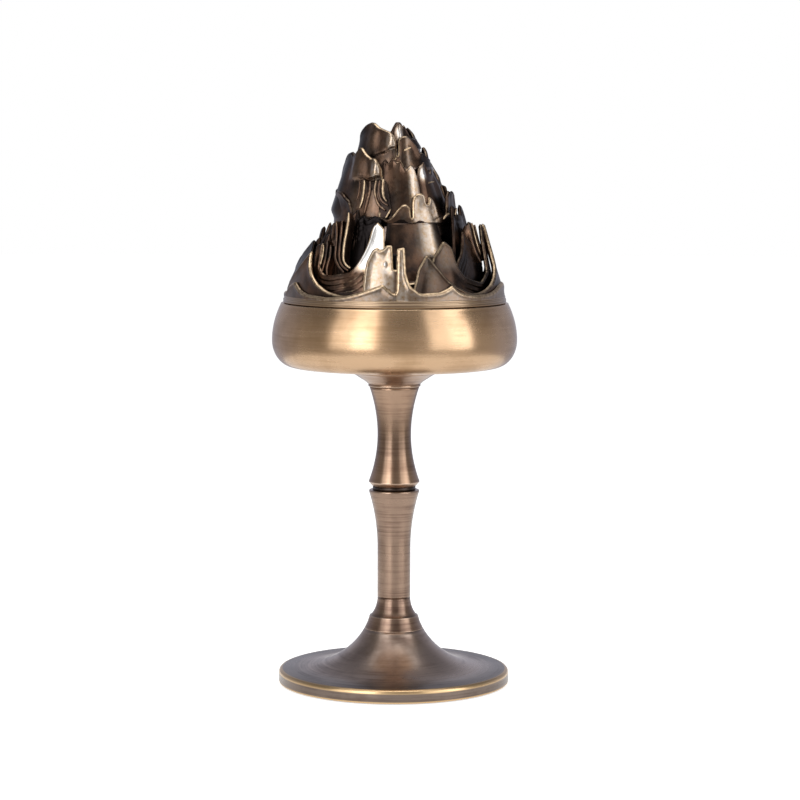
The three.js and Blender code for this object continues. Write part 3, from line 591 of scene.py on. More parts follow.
sheets = {
    "foothillSheet": {
        "node": "foothill_ring", "foot": 33.3, "lean": 0.17, "slot": "pale_bronze", "rim": 1.7,
        "footShade": 0, "hollow": 0.1, "bead": 0.7,
        "gold": [(-80, 0.2), (-50, 0.22), (-20, 0.34), (0.6, 0.4), (1.2, 0.95), (5.8, 0.95), (8, 0.5),
                 (40, 0.36), (56, 0.5), (72, 0.6), (90, 0.3)],
        "polish": [(0, 1)],
        "press": [(-20, 0), (0.9, -0.2), (1.3, -0.2), (5.6, 0.3), (7.4, 0.1), (14, 0)],
        "edge": [
            (-100, 1, 1.2), (-78, 1.6), (-72.5, 3.6), (-66, 4.7), (-58.6, 2.5, 1.2), (-51.4, 1.4),
            (-37, 0.8), (-28.7, 1.2, 1.3), (-6, 4.9, 1.2), (0.2, 2.2), (0.9, 3.4), (1.3, 15.2), (5.5, 15.6),
            (6.1, 8, 2), (9.7, 3.9, 1.7), (14.8, 2.3), (23.4, 2.6, 1.3), (31.6, 4.5, 1.6), (37.7, 2.2, 1.3),
            (47, 1.3), (58.2, 1.6, 1.3), (72.5, 3.5), (84.5, 4.4), (92, 3.2, 1.3), (104, 1.2, 1.6),
            (128, 4.6, 2.4), (150, 1, 1.6), (178, 5.2, 1.4), (190, 2.2, 1.6), (214, 4.4, 2),
            (236, 1.2, 1.4), (248, 4.2, 1.6),
        ],
    },
    "frontSheet": {
        "node": "foothill_ring", "foot": 32.6, "lean": 0.2, "slot": "pale_bronze", "rim": 1.25,
        "gold": [(-110, 0.1), (-80, 0.22), (-60, 0.1), (-52, 0), (-20, 0.1), (-16.8, 0.9), (-1, 0.9),
                 (0, 0.3), (6, 0.05), (16, 0.06), (20, 0.3), (28, 0.08), (60, 0), (176, 0), (190, 0.3),
                 (200, 0.3), (216, 0)],
        "polish": [(-90, 0.5), (-60, 1), (-40, 1.1), (30, 1.1), (60, 0.7), (100, 0.7), (190, 0.9),
                   (240, 0.5)],
        "press": [(-60, 0), (-16, -0.1), (-3, 0.1), (0, 0), (12, -0.1), (19, 0.2), (27, -0.2), (60, 0),
                  (84, 0.9), (96, 0.9), (116, 0)],
        "tilt": [(60, 0), (84, 0.11), (96, 0.11), (116, 0)],
        "paintedShade": [(5.6, 0), (7, 0.6), (13, 0.6), (17, 0.4), (20, 0.5), (27, 0.6), (40, 0.5), (60, 0)],
        "swells": [(-5.2, 10.6, 0.5, 0.6, 0.42, 1.8)],
        "edge": [
            (-104, 1.4), (-88, 2.4), (-84, 3.6), (-68.5, 8.6), (-55.8, 14), (-54.2, 9.2, 1.2),
            (-50.8, 6.6, 1.3), (-44, 4, 1.3), (-36, 2.2, 1.2), (-29, 1.5), (-17, 1.6), (-16.6, 7.6),
            (-15.8, 11.4), (-12.6, 14.8), (-9.6, 15.6), (-8.6, 14.7), (-6.6, 15), (-4.6, 16.1),
            (-1.4, 16.1), (-0.7, 9.2), (1.2, 9), (2.4, 11), (4.6, 10), (6, 4.2, 1.5), (10, 3.4), (13, 9.4),
            (17.4, 13.1, 0.7), (19, 13.2, 1.1), (25.3, 9.3, 1.2), (31, 5.8, 1.2), (36, 4, 1.3),
            (46, 1.8, 2), (78, 9, 1.4), (86, 21.4), (92, 21.6), (99, 9, 1.4), (118, 1.6, 1.2), (135, 14.6),
            (138, 7.8, 2), (156, 1.4, 1.2), (186, 15.8), (188.5, 8.8, 1.5), (196, 6.8), (197, 12.8),
            (203, 13.2), (205, 5.8, 2), (222, 1.6, 1.4), (238, 10.8, 1.6),
        ],
    },
    "secondSheet": {
        "node": "lower_peaks", "foot": 30.9, "lean": 0.22, "goldAbove": 7.5, "echoTop": 9,
        # gold of 2 from -18.5 to -7 degrees paints a near-white highlight on the spire's face
        "gold": [(-30, 0), (-25, 0.2), (-22, 1.2), (-18.5, 2), (-7, 2), (-5.8, 0.4), (-5, 0), (26, 0.05),
                 (31, 0.3), (40, 0.1), (44, 0)],
        "polish": [(-70, 0.35), (-40, 0.4), (-26, 0.8), (-8, 1), (36, 1.1), (46, 0.6), (80, 0.3),
                   (160, 0.6), (240, 0.4)],
        "press": [(-110, 0), (-96, 3), (-82, 3), (-66, 1), (-50, 0), (-30, -0.9), (-23, 0.1), (-14, 0),
                  (-6, 0.2), (0, -0.2), (20, 0), (28, -0.2), (34, 0.2), (44, -0.3), (60, 0)],
        "tilt": [(-110, 0), (-96, 0.26), (-82, 0.26), (-66, 0.08), (-58, 0)],
        "paintedShade": [(-110, 0.85), (-59, 0.85), (-56, 0), (-6, 0), (-5, 1), (3.4, 1), (4.5, 0), (22, 0.6),
                (28, 0.55), (34, 0.55), (40, 0.6), (48, 0.5), (100, 0.4), (120, 0)],
        "echo": [(-54, 0), (-46, 1), (-17, 1), (-15, 0), (38, 0), (48, 1), (66, 1), (80, 0), (180, 0),
                 (200, 1), (225, 1), (240, 0)],
        "edge": [
            (-104, 5.4), (-84, 12.2), (-64, 17), (-60.5, 16.4), (-59.5, 9.6), (-57, 9.2), (-56, 15.6),
            (-51, 16.3), (-50, 9.2, 1.4), (-45.5, 7.2, 1.3), (-41, 7, 1.2), (-31, 8, 2.2), (-16, 17.4),
            (-14, 21.4), (-11.2, 22.7), (-6.6, 20.9), (-6, 14.8), (-5.5, 13.8), (2.6, 13.4), (3.4, 4.8),
            (18, 5.8), (24, 12.6), (31.5, 17), (33.5, 16.9), (37.5, 15.2), (40, 10.2, 1.5), (47, 6.4, 1.4),
            (60, 4.8), (72, 7.8), (76, 17.8), (82, 21.6), (90, 21), (98, 12.8, 2), (116, 5.8, 1.2),
            (126, 18.8), (129, 12.8, 2), (150, 5.8, 1.6), (168, 20.8), (171, 14.8, 1.4), (184, 9.8),
            (200, 19.3), (203, 12.8, 2), (222, 5.8, 1.4), (236, 15.8, 1.2), (248, 7.8),
        ],
    },
    "thirdSheet": {
        "node": "lower_peaks", "foot": 29.6, "lean": 0.27,
        "polish": [(0, 0.3)],
        "echo": [(0, 0.6)],
        "paintedShade": [(0, 0.6)],
        "edge": [
            (-104, 9.8), (-94, 12.6), (-84, 15.4), (-78, 13.8), (-66, 17.8), (-62, 13.8), (-57, 14.8),
            (-55, 18.6), (-52, 18.9), (-50.5, 15.2), (-46, 15.8), (-44.6, 22.9), (-40.4, 23.2), (-39, 21.2),
            (-37.8, 23), (-35.4, 22.6), (-34.4, 12, 2), (-29.5, 5.4), (36, 5.8), (46, 11.8, 1.4),
            (56, 19.8), (60, 17.8), (66, 15.8), (69.6, 22.4), (75, 22.2), (77, 20.4), (84, 21), (87, 14.8),
            (104, 12, 1.6), (114, 16.4), (120, 18.8), (132.6, 19.4), (133.6, 11, 1.4), (146, 8.8, 1.6),
            (156, 20.4), (160, 15.8, 1.4), (178, 9.8, 1.6), (190, 22.4), (202, 22.8), (206, 12.8, 1.4),
            (212, 10.8, 1.4), (228, 20.8), (232, 13.8, 1.4), (246, 9.8),
        ],
    },
    "fourthSheet": {
        "node": "lower_peaks", "foot": 27.8, "lean": 0.29,
        "polish": [(0, 0.25)],
        "echo": [(0, 0.6)],
        "paintedShade": [(-34, 0.65), (-30, 1), (-10, 1), (-9, 0.65)],
        "edge": [
            (-100, 13.8), (-90, 19.8), (-80, 20.8), (-74, 15.8), (-58, 22.4), (-54, 16.8), (-46, 14.8),
            (-42.5, 24.4), (-36, 25), (-34, 26.2), (-31.4, 26), (-30.4, 23.4), (-26, 24.6), (-22, 23.2),
            (-17, 24.4), (-11, 23.6), (-10, 3.8), (40, 5.8, 1.2), (50, 17.8), (54, 22.8), (58, 27),
            (62, 27.2), (64.5, 24.6), (72, 24.4), (76, 26.6), (80, 27.4), (85, 26.4), (92, 22.8),
            (96, 17.8, 1.4), (100, 13.8), (112, 22.8), (116, 16.8, 1.4), (124.6, 15.5), (126, 20.6),
            (137, 22), (138.4, 16), (146, 23.4), (150, 17.8, 1.2), (170, 13.8), (180, 24.8),
            (185, 18.8, 1.4), (204, 13.8), (216, 23.8), (220, 17.8, 1.4), (238, 12.8, 1.2), (248, 21.8),
            (252, 16.8),
        ],
    },
    "domeWallSheet": {
        "node": "lower_peaks", "foot": 27.3, "lean": 0.39, "bead": 0, "hollow": 0, "goldAbove": 11,
        # gold from 21 to 35 degrees paints the bright highlight column on the dome wall
        "gold": [(-12, 0), (16, 0.02), (21, 0.2), (26, 1), (31, 1.2), (35, 0.4), (40, 0)],
        "polish": [(0, 0.1)],
        "press": [(-12, 0), (4, 0), (14, -0.25), (21, -0.2), (28, 0.1), (34, 0.4), (40, 0.1), (48, -0.5)],
        "paintedShade": [(-9, 1), (-4, 0.9), (0, 0.15), (6, 0), (32, 0), (37, 0.4), (42, 0.8)],
        "edge": [(-60, 1), (-8.4, 1), (-7.4, 22.3), (42, 22.3), (44, 14), (46, 1), (170, 1)],
    },
    "domeSheet": {
        "node": "middle_peaks", "foot": 18.62, "lean": 0.1, "root": 0.1, "footShade": 0.2,
        "gold": [(-60, 0), (2, 0), (8, 0.1), (15, 0.1), (18, 0.5), (24, 1), (32, 0.95), (42, 0.6), (48, 0)],
        "polish": [(-60, 0.3), (-10, 0.4), (0, 1), (45, 1), (60, 0.3)],
        "paintedShade": [(-50, 0), (-42, 0.85), (-10, 0.85), (-6, 0), (44, 0), (48, 0.5), (60, 0.3), (90, 0)],
        "press": [(14, 0), (18, -0.3), (27, 0.3), (36, 0), (46, -0.6), (60, 0)],
        "edge": [
            (-112, 2.6), (-106, 9.4, 0.6), (-92, 9.8, 0.6), (-84, 8.6), (-80, 9.2, 0.6), (-66, 8.8, 0.7),
            (-58, 7.6), (-50, 6.4, 0.7), (-43, 2), (-12, 1.7), (-8, 0.9), (-3.3, 1.7, 1.1), (2.6, 4, 0.8),
            (7.1, 5.3, 0.7), (11.6, 5.5), (14.6, 4.2), (15.4, 1.4), (16.6, 1.4), (17, 6, 0.8),
            (18.8, 7.8, 0.8), (23, 8.7), (28.4, 8.6), (30, 7.6), (30.6, 5.7), (33.6, 5.6), (34.4, 7.6, 0.8),
            (37, 7.5), (40.5, 6.6, 0.8), (44.1, 4.6, 0.8), (46, 1.6), (52, 1.4), (58, 2.2), (60.5, 7.6),
            (66, 9.4), (72, 8.7), (78, 9.3), (84, 8.2), (86, 5.2), (98, 1.6), (110, 8, 0.8), (122, 5.6),
            (130, 1.6), (142, 9.2, 0.8), (154, 6.6), (160, 1.6), (174, 7.6, 0.7), (188, 8.6, 0.8),
            (194, 2.6), (208, 7.2, 0.7), (222, 8.2, 0.8), (230, 2.6), (240, 8.6, 0.8),
        ],
    },
    "foldSheet": {
        "node": "middle_peaks", "foot": 18, "lean": 0.2,
        "polish": [(0, 0.3)],
        "paintedShade": [(0, 0.8)],
        "edge": [
            (-44, 1.6), (-39, 8.6), (-37, 12.8), (-33, 12.8), (-28, 12.2), (-20, 12.6), (-9, 12), (-6, 8.6),
            (-2, 2.2), (96, 1.6), (104, 10.6), (122, 11.2), (126, 4.6), (150, 1.6), (168, 11.2),
            (171, 10.6), (173, 4.6), (176, 12), (179, 11.6), (181, 5.6), (184, 11.2), (189, 4.6),
            (214, 1.6), (222, 11.6), (240, 11), (244, 3.6),
        ],
    },
    "plateSheet": {
        "node": "middle_peaks", "foot": 18.6, "lean": 0.27,
        "gold": [(-90, 0), (-56, 0), (-47, 0.2), (-40, 0.04), (-30, 0.02), (-24, 0.15), (-14, 0), (90, 0)],
        "polish": [(-90, 0.3), (-55, 0.5), (-40, 0.9), (-14, 0.9), (0, 0.4), (60, 0.4)],
        "press": [(-112, 1.4), (-92, 2.1), (-76, 1.7), (-60, 0.5), (-46, 0.5), (-34, 0), (-20, 0.1),
                  (-12, -0.9), (30, -1.4), (50, -0.8), (90, -0.4), (112, 0)],
        "tilt": [(-112, 0), (-92, 0.05), (-76, 0.04), (-60, 0), (40, 0), (60, 0.13), (90, 0.19), (118, 0.1),
                 (140, 0)],
        "paintedShade": [(-112, 0.8), (-74, 0.8), (-64, 0.1), (-50, 0), (-14, 0), (-12, 0.7), (28, 0.8), (33, 0.25),
                (43, 0.25), (50, 0.5), (96, 0.3), (110, 0)],
        "ledge": [(-90, 11.4), (-76, 11.6), (-49, 12.3), (-37, 12.6), (-30, 12.4), (-21.6, 12.8),
                  (-14, 13.4), (0, 13), (150, 9), (200, 8), (240, 10)],
        "overhang": [(-62, 0), (-50, 1.2), (-36, 1.6), (-17, 1.6), (-14, 0), (136, 0), (150, 1), (236, 1),
                     (250, 0)],
        "swells": [(-20.8, 15.8, 1.6, 2.7, 1.1, 1), (-48, 16.5, 4.2, 4, 0.5, 0),
                   (37.5, 14.4, 1.5, 1.7, 0.5, 1.7), (74, 10, 2.4, 4, 0.5, 0), (112, 12, 3, 4, 0.9, 0.3),
                   (160, 14, 2.2, 3.2, 0.9, 0.5), (193, 12, 2.4, 4, 1, 0.6), (229, 14, 2.4, 3.6, 0.9, 0.4)],
        "edge": [
            (-112, 9.6), (-92, 18.6, 0.9), (-82.8, 20.4), (-70, 20.8), (-59.2, 19.6), (-50, 21.2, 0.8),
            (-46.4, 22.2), (-42, 21.9), (-34.4, 20.1), (-27.4, 18.9, 0.8), (-23, 18.9, 0.8),
            (-18.6, 17.8, 0.7), (-15.4, 15.6), (-14.6, 12.6), (-13.8, 1.6), (27, 1.6), (28.4, 13),
            (33, 16.4), (45, 18), (50, 15.6), (60, 14.2), (70, 16.6), (82, 17.4), (92, 15.4),
            (100, 11.6, 1.6), (118, 18.2), (124, 13.6, 1.2), (140, 11.2, 1.2), (156, 19.6),
            (162, 14.6, 1.4), (180, 11.2, 1.2), (194, 18.6), (200, 14, 1.4), (214, 11.2, 1.2), (230, 20.6),
            (236, 14.6, 1.2),
        ],
    },
    "smoothSheet": {
        "node": "middle_peaks", "foot": 17.9, "lean": 0.29,
        "polish": [(-20, 0.2), (10, 0.5), (28, 0.7), (40, 0.3)],
        "gold": [(-20, 0), (-4, 0), (2, 0.12), (8, 0), (15, 0.1), (18, 0.9), (23, 1.2), (27, 0.5), (30, 0),
                 (40, 0)],
        "press": [(-20, 0), (8, -0.1), (21, 0.35), (30, -0.5), (40, 0)],
        "paintedShade": [(-16, 0.7), (-9, 0.35), (2, 0.1), (6, 0.1), (12, 0.3), (15, 0), (60, 0), (90, 0.3)],
        "edge": [
            (-60, 1), (-22, 2), (-20, 17), (-14, 18.8), (-9, 17.4), (-3, 19.2), (3, 17.8), (8, 18.6),
            (12, 16.2), (14, 15.6), (16, 16, 0.7), (21.7, 17, 0.7), (27.5, 15.2, 0.8), (30.4, 12.2),
            (31.4, 4), (34, 1), (100, 1), (104, 9.6), (110, 13.6, 0.7), (120, 10), (124, 1), (168, 1),
            (174, 12.6), (186, 14.4), (192, 1.4), (236, 1), (240, 11, 0.8), (252, 13), (256, 1),
        ],
    },
    "upperSheet": {
        "node": "upper_peaks", "foot": 11.8, "lean": 0.25,
        "gold": [(-90, 0), (-60, 0), (-50, 0.12), (-30, 0.02), (-10, 0.15), (3, 0), (12, 0.05), (22, 0.3),
                 (34, 0)],
        "polish": [(-90, 0.3), (-30, 0.8), (0, 0.8), (60, 0.4)],
        "press": [(-104, 0.6), (-88, 1.3), (-66, 0.8), (-50, 0.3), (-30, -0.1), (-8, 0.3), (2, 0),
                  (8, -0.6), (20, 0), (34, -0.6), (60, -0.7), (98, -0.7), (122, 0)],
        "paintedShade": [(-104, 0.7), (-72, 0.7), (-62, 0.1), (-50, 0), (0, 0), (8, 0.3), (18, 0), (34, 0.3),
                (60, 0.5), (90, 0.3), (120, 0)],
        "ledge": [(-60, 3), (-40, 3.4), (-26, 4.6), (-16, 5), (-8, 6.2), (4, 6.8), (150, 4), (220, 4)],
        "overhang": [(-58, 0), (-44, 0.3), (-26, 0.5), (-10, 1), (1, 1), (4, 0), (140, 0), (156, 0.7),
                     (210, 0.7), (226, 0)],
        "swells": [(-5.5, 8.9, 1.6, 2.5, 0.9, 1), (-46, 10, 3, 3, 0.4, 0), (120, 6, 2, 3, 0.6, 0.3),
                   (166, 7.6, 1.8, 2.6, 0.8, 0.6), (208, 7, 1.8, 2.4, 0.7, 0.5)],
        "edge": [
            (-110, 4.4), (-96, 9.8), (-84, 12.2), (-72, 13.4, 0.7), (-55.7, 14.35), (-44, 14.1),
            (-30.8, 12.8), (-16.3, 12, 0.9), (-7, 11.4, 0.8), (-1.6, 10.2, 0.7), (1.8, 8), (2.6, 4.6),
            (5, 4.2), (6.4, 9.2, 0.8), (14, 10.2, 0.8), (24, 10.4), (35, 9.1), (44.6, 7.3), (50, 5),
            (56, 5.6), (75, 4), (92, 3.7), (104, 3.4, 1.2), (122, 7.2), (128, 5, 1.2), (146, 3.2, 1.2),
            (164, 11.4, 0.8), (172, 7.4), (186, 3.4, 1.4), (206, 10.4, 0.8), (214, 5.4, 1.2),
            (232, 3.4, 1.2), (244, 8.4),
        ],
    },
    "summitSheet": {
        "node": "summit", "foot": 8.1, "lean": 0.33,
        "polish": [(0, 0.45)],
        "paintedShade": [(-60, 0.2), (4, 0), (30, 0.1), (60, 0.4), (100, 0.2)],
        "press": [(-90, 0.6), (-20, 0), (-4, -0.3), (10, 0.1), (24, -0.6), (50, -1.4), (100, -1.4),
                  (130, 0)],
        "swells": [(12, 4.4, 1.2, 1.8, 0.5, 1.5), (-40, 2, 2, 2, 0.4, 0), (130, 3, 1.6, 2, 0.5, 0.3)],
        "edge": [
            (-100, 2.6), (-78, 4.6), (-58, 5.6, 0.7), (-44, 5), (-32, 2.6), (-20, 3.2), (-10, 5.4, 0.7),
            (2, 7.6, 0.6), (18, 7.6, 0.8), (28, 6.2), (32, 6.9, 0.8), (42, 5.6), (56, 3), (74, 2.6),
            (94, 3.4, 0.8), (110, 2.6), (140, 6.2, 0.8), (160, 3), (190, 5.2, 0.8), (214, 2.6),
            (236, 5.6, 0.8), (248, 3.2),
        ],
    },
}

# How a sheet is cast, mm
casting = {
    "thickness": 1.1, "sampling": 0.08, "spacing": 0.34, "outerRows": 36, "innerRows": 8, "gather": 1.6,
    "soften": 0.3, "beadHeight": 0.14, "beadPlace": 0.5, "beadWidth": 0.34, "wearWidth": 0.5,
    "hollowReach": 2, "pressReach": 4, "shadeReach": 3, "goldReach": 3, "swellGold": 1.6,
    "echoSpacing": 1.45, "echoDepth": 0.34, "echoBlend": 0.4, "echoCount": 4, "echoFade": 3,
    "echoWear": 0.5, "echoWearWidth": 0.25, "ledgeRise": 1.1, "ledgeShade": 0.85, "ledgeReach": 5,
    "innerRelief": 0.6, "innerWear": 0.2, "innerShade": 0.85,
    "easing": (-2.5, -1.25, 1.25, 2.5),  # degrees, bearings whose mean rounds the knots
}


def softStep(value):
    share = np.clip(value, 0, 1)
    return share * share * (3 - 2 * share)


# 1 at nothing, falling to little at 2 on either side
def hump(value):
    return np.exp(-(value ** 2))


def nearTurn(angle):
    return (angle + math.pi) % fullTurn - math.pi


def aroundLid(knots, bearing):
    places, values = zip(*knots)
    return np.interp(np.degrees(bearing), places, values, period=360)


# The same, but rounded at each knot
def easedRoundLid(knots, bearing):
    turns = [math.radians(turn) for turn in casting["easing"]]
    return sum(aroundLid(knots, bearing + turn) / len(turns) for turn in turns)


# Outline of a sheet's edge: bearings in radians and heights in mm, evenly spaced along its length
def edgeLine(spec):
    edge, reach = spec["edge"], spec["foot"]
    bearings, heights = [], []
    for (start, height, *bow), (end, endHeight, *_) in zip(edge, [*edge[1:], edge[0]]):
        end += 360 if end < start else 0
        length = math.hypot(math.radians(end - start) * reach, endHeight - height)
        share = np.linspace(0, 1, max(2, int(length / casting["sampling"])), endpoint=False)
        fromLow = share if endHeight > height else 1 - share
        bearings.append(np.radians(start + (end - start) * share))
        heights.append(min(height, endHeight) + abs(endHeight - height) * fromLow ** (bow[0] if bow else 1))
    bearing, height = np.concatenate(bearings), np.concatenate(heights)
    closedB = np.append(bearing, bearing[0] + fullTurn)
    closedH = np.append(height, height[0])
    travelled = np.append(0, np.cumsum(np.hypot(np.diff(closedB) * reach, np.diff(closedH))))
    count = int(travelled[-1] / casting["spacing"])
    places = np.linspace(0, travelled[-1], count, endpoint=False)
    evenB = np.interp(places, travelled, closedB)
    evenH = np.interp(places, travelled, closedH)
    waves = np.fft.rfftfreq(count, travelled[-1] / count)
    soft = np.exp(-0.5 * (fullTurn * waves * casting["soften"]) ** 2)
    drift = evenB[0] + fullTurn * np.arange(count) / count
    smoothB = drift + np.fft.irfft(np.fft.rfft(evenB - drift) * soft, count)
    smoothH = np.fft.irfft(np.fft.rfft(evenH) * soft, count)
    return smoothB, smoothH


# Distance in mm from each point (bearing, level) of a row to the sheet's edge (bearing, height)
def distanceToEdge(bearing, level, height, reach):
    along = nearTurn(bearing[:, None] - bearing[None, :])
    return np.hypot(along * reach, level[:, None] - height[None, :]).min(axis=1)


# One row of a sheet's points, on its outer or inner face, with its wear, shade and gold
def sheetRow(spec, bearing, height, share, outward):
    def around(key):
        return aroundLid(spec[key], bearing)

    base = height * share
    level = base - (0 if share else spec["root"])
    gap = distanceToEdge(bearing, base, height, spec["foot"]) if share < 1 else 0 * height
    half = casting["thickness"] / 2
    near = np.clip(gap / half, 0, 1)
    lift = half * np.sqrt(np.clip(1 - (1 - near) ** 2, 0, 1))
    rim = spec["rim"]
    beadPlace = casting["beadPlace"] * rim
    bead = casting["beadHeight"] * rim * hump((gap - beadPlace) / (casting["beadWidth"] * rim))
    bead *= spec["bead"] * near
    relief = easedRoundLid(spec["press"], bearing) * softStep(level / casting["pressReach"])
    relief -= spec["hollow"] * softStep((gap - beadPlace) / casting["hollowReach"])
    echo = around("echo") * softStep((spec["echoTop"] - level) / casting["echoFade"])
    wear = hump(gap / (casting["wearWidth"] * rim))
    for step in range(1, casting["echoCount"] + 1):
        past = gap - step * casting["echoSpacing"]
        relief -= echo * casting["echoDepth"] * softStep(past / casting["echoBlend"])
        wear = np.maximum(wear, casting["echoWear"] * echo * hump(past / casting["echoWearWidth"]))
    over, overhang = level - around("ledge"), around("overhang")
    relief += overhang * softStep(over / casting["ledgeRise"])
    # Painted shade: darker at the sheet's foot, on the faces listed by bearing, and under a ledge that
    # stands forward
    shade = np.maximum(spec["footShade"] * softStep(1 - level / casting["shadeReach"]), around("paintedShade"))
    under = casting["ledgeShade"] * softStep(1 + over / casting["ledgeReach"])
    under = under * (over < 0) * np.clip(overhang, 0, 1)
    # Gold: partly rubbed metal and partly painted highlight, near-white above 1; a swell's last value adds
    # to it
    gold = around("gold") * softStep((level - spec["goldAbove"]) / casting["goldReach"])
    for place, centre, wide, tall, rise, rubbed in spec["swells"]:
        across = nearTurn(bearing - math.radians(place)) * spec["foot"] / wide
        swell = np.exp(-(across ** 2) - ((level - centre) / tall) ** 2)
        relief += rise * swell
        gold = np.maximum(gold, rubbed * softStep(casting["swellGold"] * swell))
    middle = spec["foot"] - half - (spec["lean"] + around("tilt")) * np.maximum(level, 0)
    radius = middle + lift + bead + relief if outward else middle - lift + casting["innerRelief"] * relief
    up = tiers[tierOf[spec["node"]]]["z"] + level
    points = np.stack([radius * np.sin(bearing), -radius * np.cos(bearing), up], axis=1)
    if outward:
        return points, wear, np.maximum(shade, under), gold
    return points, wear * casting["innerWear"], 0 * level + casting["innerShade"], 0 * level


# Faces between closed rings of points, the last ring joined to the first where the piece is closed
def ringFaces(columns, rings, closed):
    return [
        (k * columns + i, k * columns + (i + 1) % columns,
         (k + 1) % rings * columns + (i + 1) % columns, (k + 1) % rings * columns + i)
        for k in range(rings if closed else rings - 1) for i in range(columns)
    ]


# Shares of the height for a face's rows, closer together towards the edge
def rowShares(rows):
    return 1 - (np.arange(rows + 1) / rows) ** casting["gather"]


def castSheet(name, given):
    spec = {**plainSheet, **given}
    bearing, height = edgeLine(spec)
    made = [sheetRow(spec, bearing, height, share, True) for share in rowShares(casting["outerRows"])]
    inner = rowShares(casting["innerRows"])[:0:-1]
    made += [sheetRow(spec, bearing, height, share, False) for share in inner]
    points, *marks = (np.concatenate(column) for column in zip(*made))
    marks.append(np.tile(aroundLid(spec["polish"], bearing), len(made)))
    mesh = bpy.data.meshes.new(name)
    mesh.from_pydata((points * mm).tolist(), [], ringFaces(len(bearing), len(made), True))
    for title, values in zip(("wear", "shade", "gold", "polish"), marks):
        markPoints(mesh, title, values.astype(np.float32))
    mesh.polygons.foreach_set("use_smooth", [True] * len(mesh.polygons))
    mesh.materials.append(finishes["castCopper"])
    recalculateNormals(mesh)
    settle(placed(name, mesh), "lid", spec["slot"], spec["node"])


# Folds: thin ribs that stand on the sheets. Each line is how rubbed it is and its (bearing, height)
# points, with its own foot where it differs. A group is repeated round the lid at its turns, each with
# its share of the height.
folds = {
    "outerFolds": {
        "node": "lower_peaks", "foot": 31, "lean": 0.25, "width": 0.9, "depth": 3.4, "round": 0.32,
        "turns": [(0, 1), (168, 0.84), (235, 0.92)],
        "lines": [
            (0.9, [(-51.6, 16), (-50.6, 14.4), (-50.3, 12.4), (-50.9, 9.3), (-50.4, 7.4)]),
            (0.3, [(-44.2, 15.7), (-43.6, 12.4), (-44.4, 9.4), (-43, 7)]),
            (0.3, [(-43.1, 22.7), (-41, 19.2), (-39.8, 15.3), (-39, 12.4), (-36, 10.1), (-31, 8)]),
            (0.25, [(-37.9, 22.9), (-37.2, 18.3), (-36.8, 15.3), (-36, 12.5), (-33.2, 10.1), (-28.4, 8.6)]),
            (1.2, [(-33.4, 25.3), (-33.1, 22.8), (-33.3, 19.3), (-33.6, 16.4), (-32.9, 12.5), (-30.6, 10.4),
                   (-27, 9.3)]),
            (0.25, [(-48.2, 17), (-47.2, 12.6), (-47.6, 8)]),
        ],
    },
    "sideFolds": {
        "node": "lower_peaks", "foot": 30.2, "lean": 0.27, "width": 0.95, "depth": 3, "round": 0.34,
        "turns": [(0, 1)],
        "lines": [
            (0.35, [(65, 21.5), (64.4, 17.5), (66, 13.5), (70, 10.5)]),
            (0.9, [(72.5, 22), (72, 18), (73.2, 14.4), (78, 11)]),
            (0.5, [(80, 21.4), (79.6, 17.8), (81, 14), (86, 10.8)]),
        ],
    },
    "middleFolds": {
        "node": "middle_peaks", "foot": 18.9, "lean": 0.26, "width": 0.95, "depth": 2.4, "round": 0.34,
        "turns": [(0, 1), (168, 0.9), (262, 0.95)],
        "lines": [
            (1, [(-35.6, 12.4), (-34.8, 9.6), (-34.7, 6.9), (-36.1, 4.4)]),
            (0.2, [(-42, 12.2), (-41, 9), (-41.6, 6.8)]),
            (0.25, [(-28.1, 12.2), (-27.5, 9), (-28.9, 6.5), (-30.2, 3)]),
            (0.4, [(-21, 12.4), (-21.6, 9.8), (-19.9, 7.7), (-15.9, 5.4), (-9.4, 3.8)]),
            (0.2, [(-16.8, 12.4), (-17.2, 9.8), (-15.4, 7.7), (-12, 6.2), (-7, 5.2)]),
            (0.6, [(-12.8, 12.8), (-12.9, 10), (-11.3, 7.7), (-8, 6.4)]),
        ],
    },
    "lowerLips": {
        "node": "lower_peaks", "foot": 28.4, "lean": 0.29, "width": 0.6, "depth": 1.6, "round": 0.22,
        "turns": [(0, 1)],
        "lines": [
            (1.6, [(42, 23.4), (45.6, 24.4), (49.5, 25)]),
            (1.3, [(58, 24.4), (61, 25.6), (63, 26.4)]),
        ],
    },
    "middleLips": {
        "node": "middle_peaks", "foot": 19, "lean": 0.2, "width": 0.5, "depth": 1.4, "round": 0.2,
        "turns": [(0, 1)],
        "lines": [
            (1.5, [(-8.2, 1.6), (-6, 2.8), (-4.1, 4)]),
            (1.5, [(44, 11.5), (51, 11.9), (58, 12)], 16.2),
        ],
    },
    "upperLips": {
        "node": "upper_peaks", "foot": 12.2, "lean": 0.25, "width": 0.6, "depth": 1.5, "round": 0.2,
        "turns": [(0, 1)],
        "lines": [
            (1.6, [(15, 6), (21, 6.5), (27, 6.9)], 12),
            (1.2, [(-4.3, 2.5), (-1, 3.2), (1.9, 3.9)]),
        ],
    },
}
foldShape = {
    "spacing": 0.35, "curveSteps": 12, "fewest": 6, "gold": 0.03, "fade": 0.35,
    "thinnest": 0.55, "startTaper": 0.12, "endTaper": 0.3,  # size at the ends, and the shares that taper
}


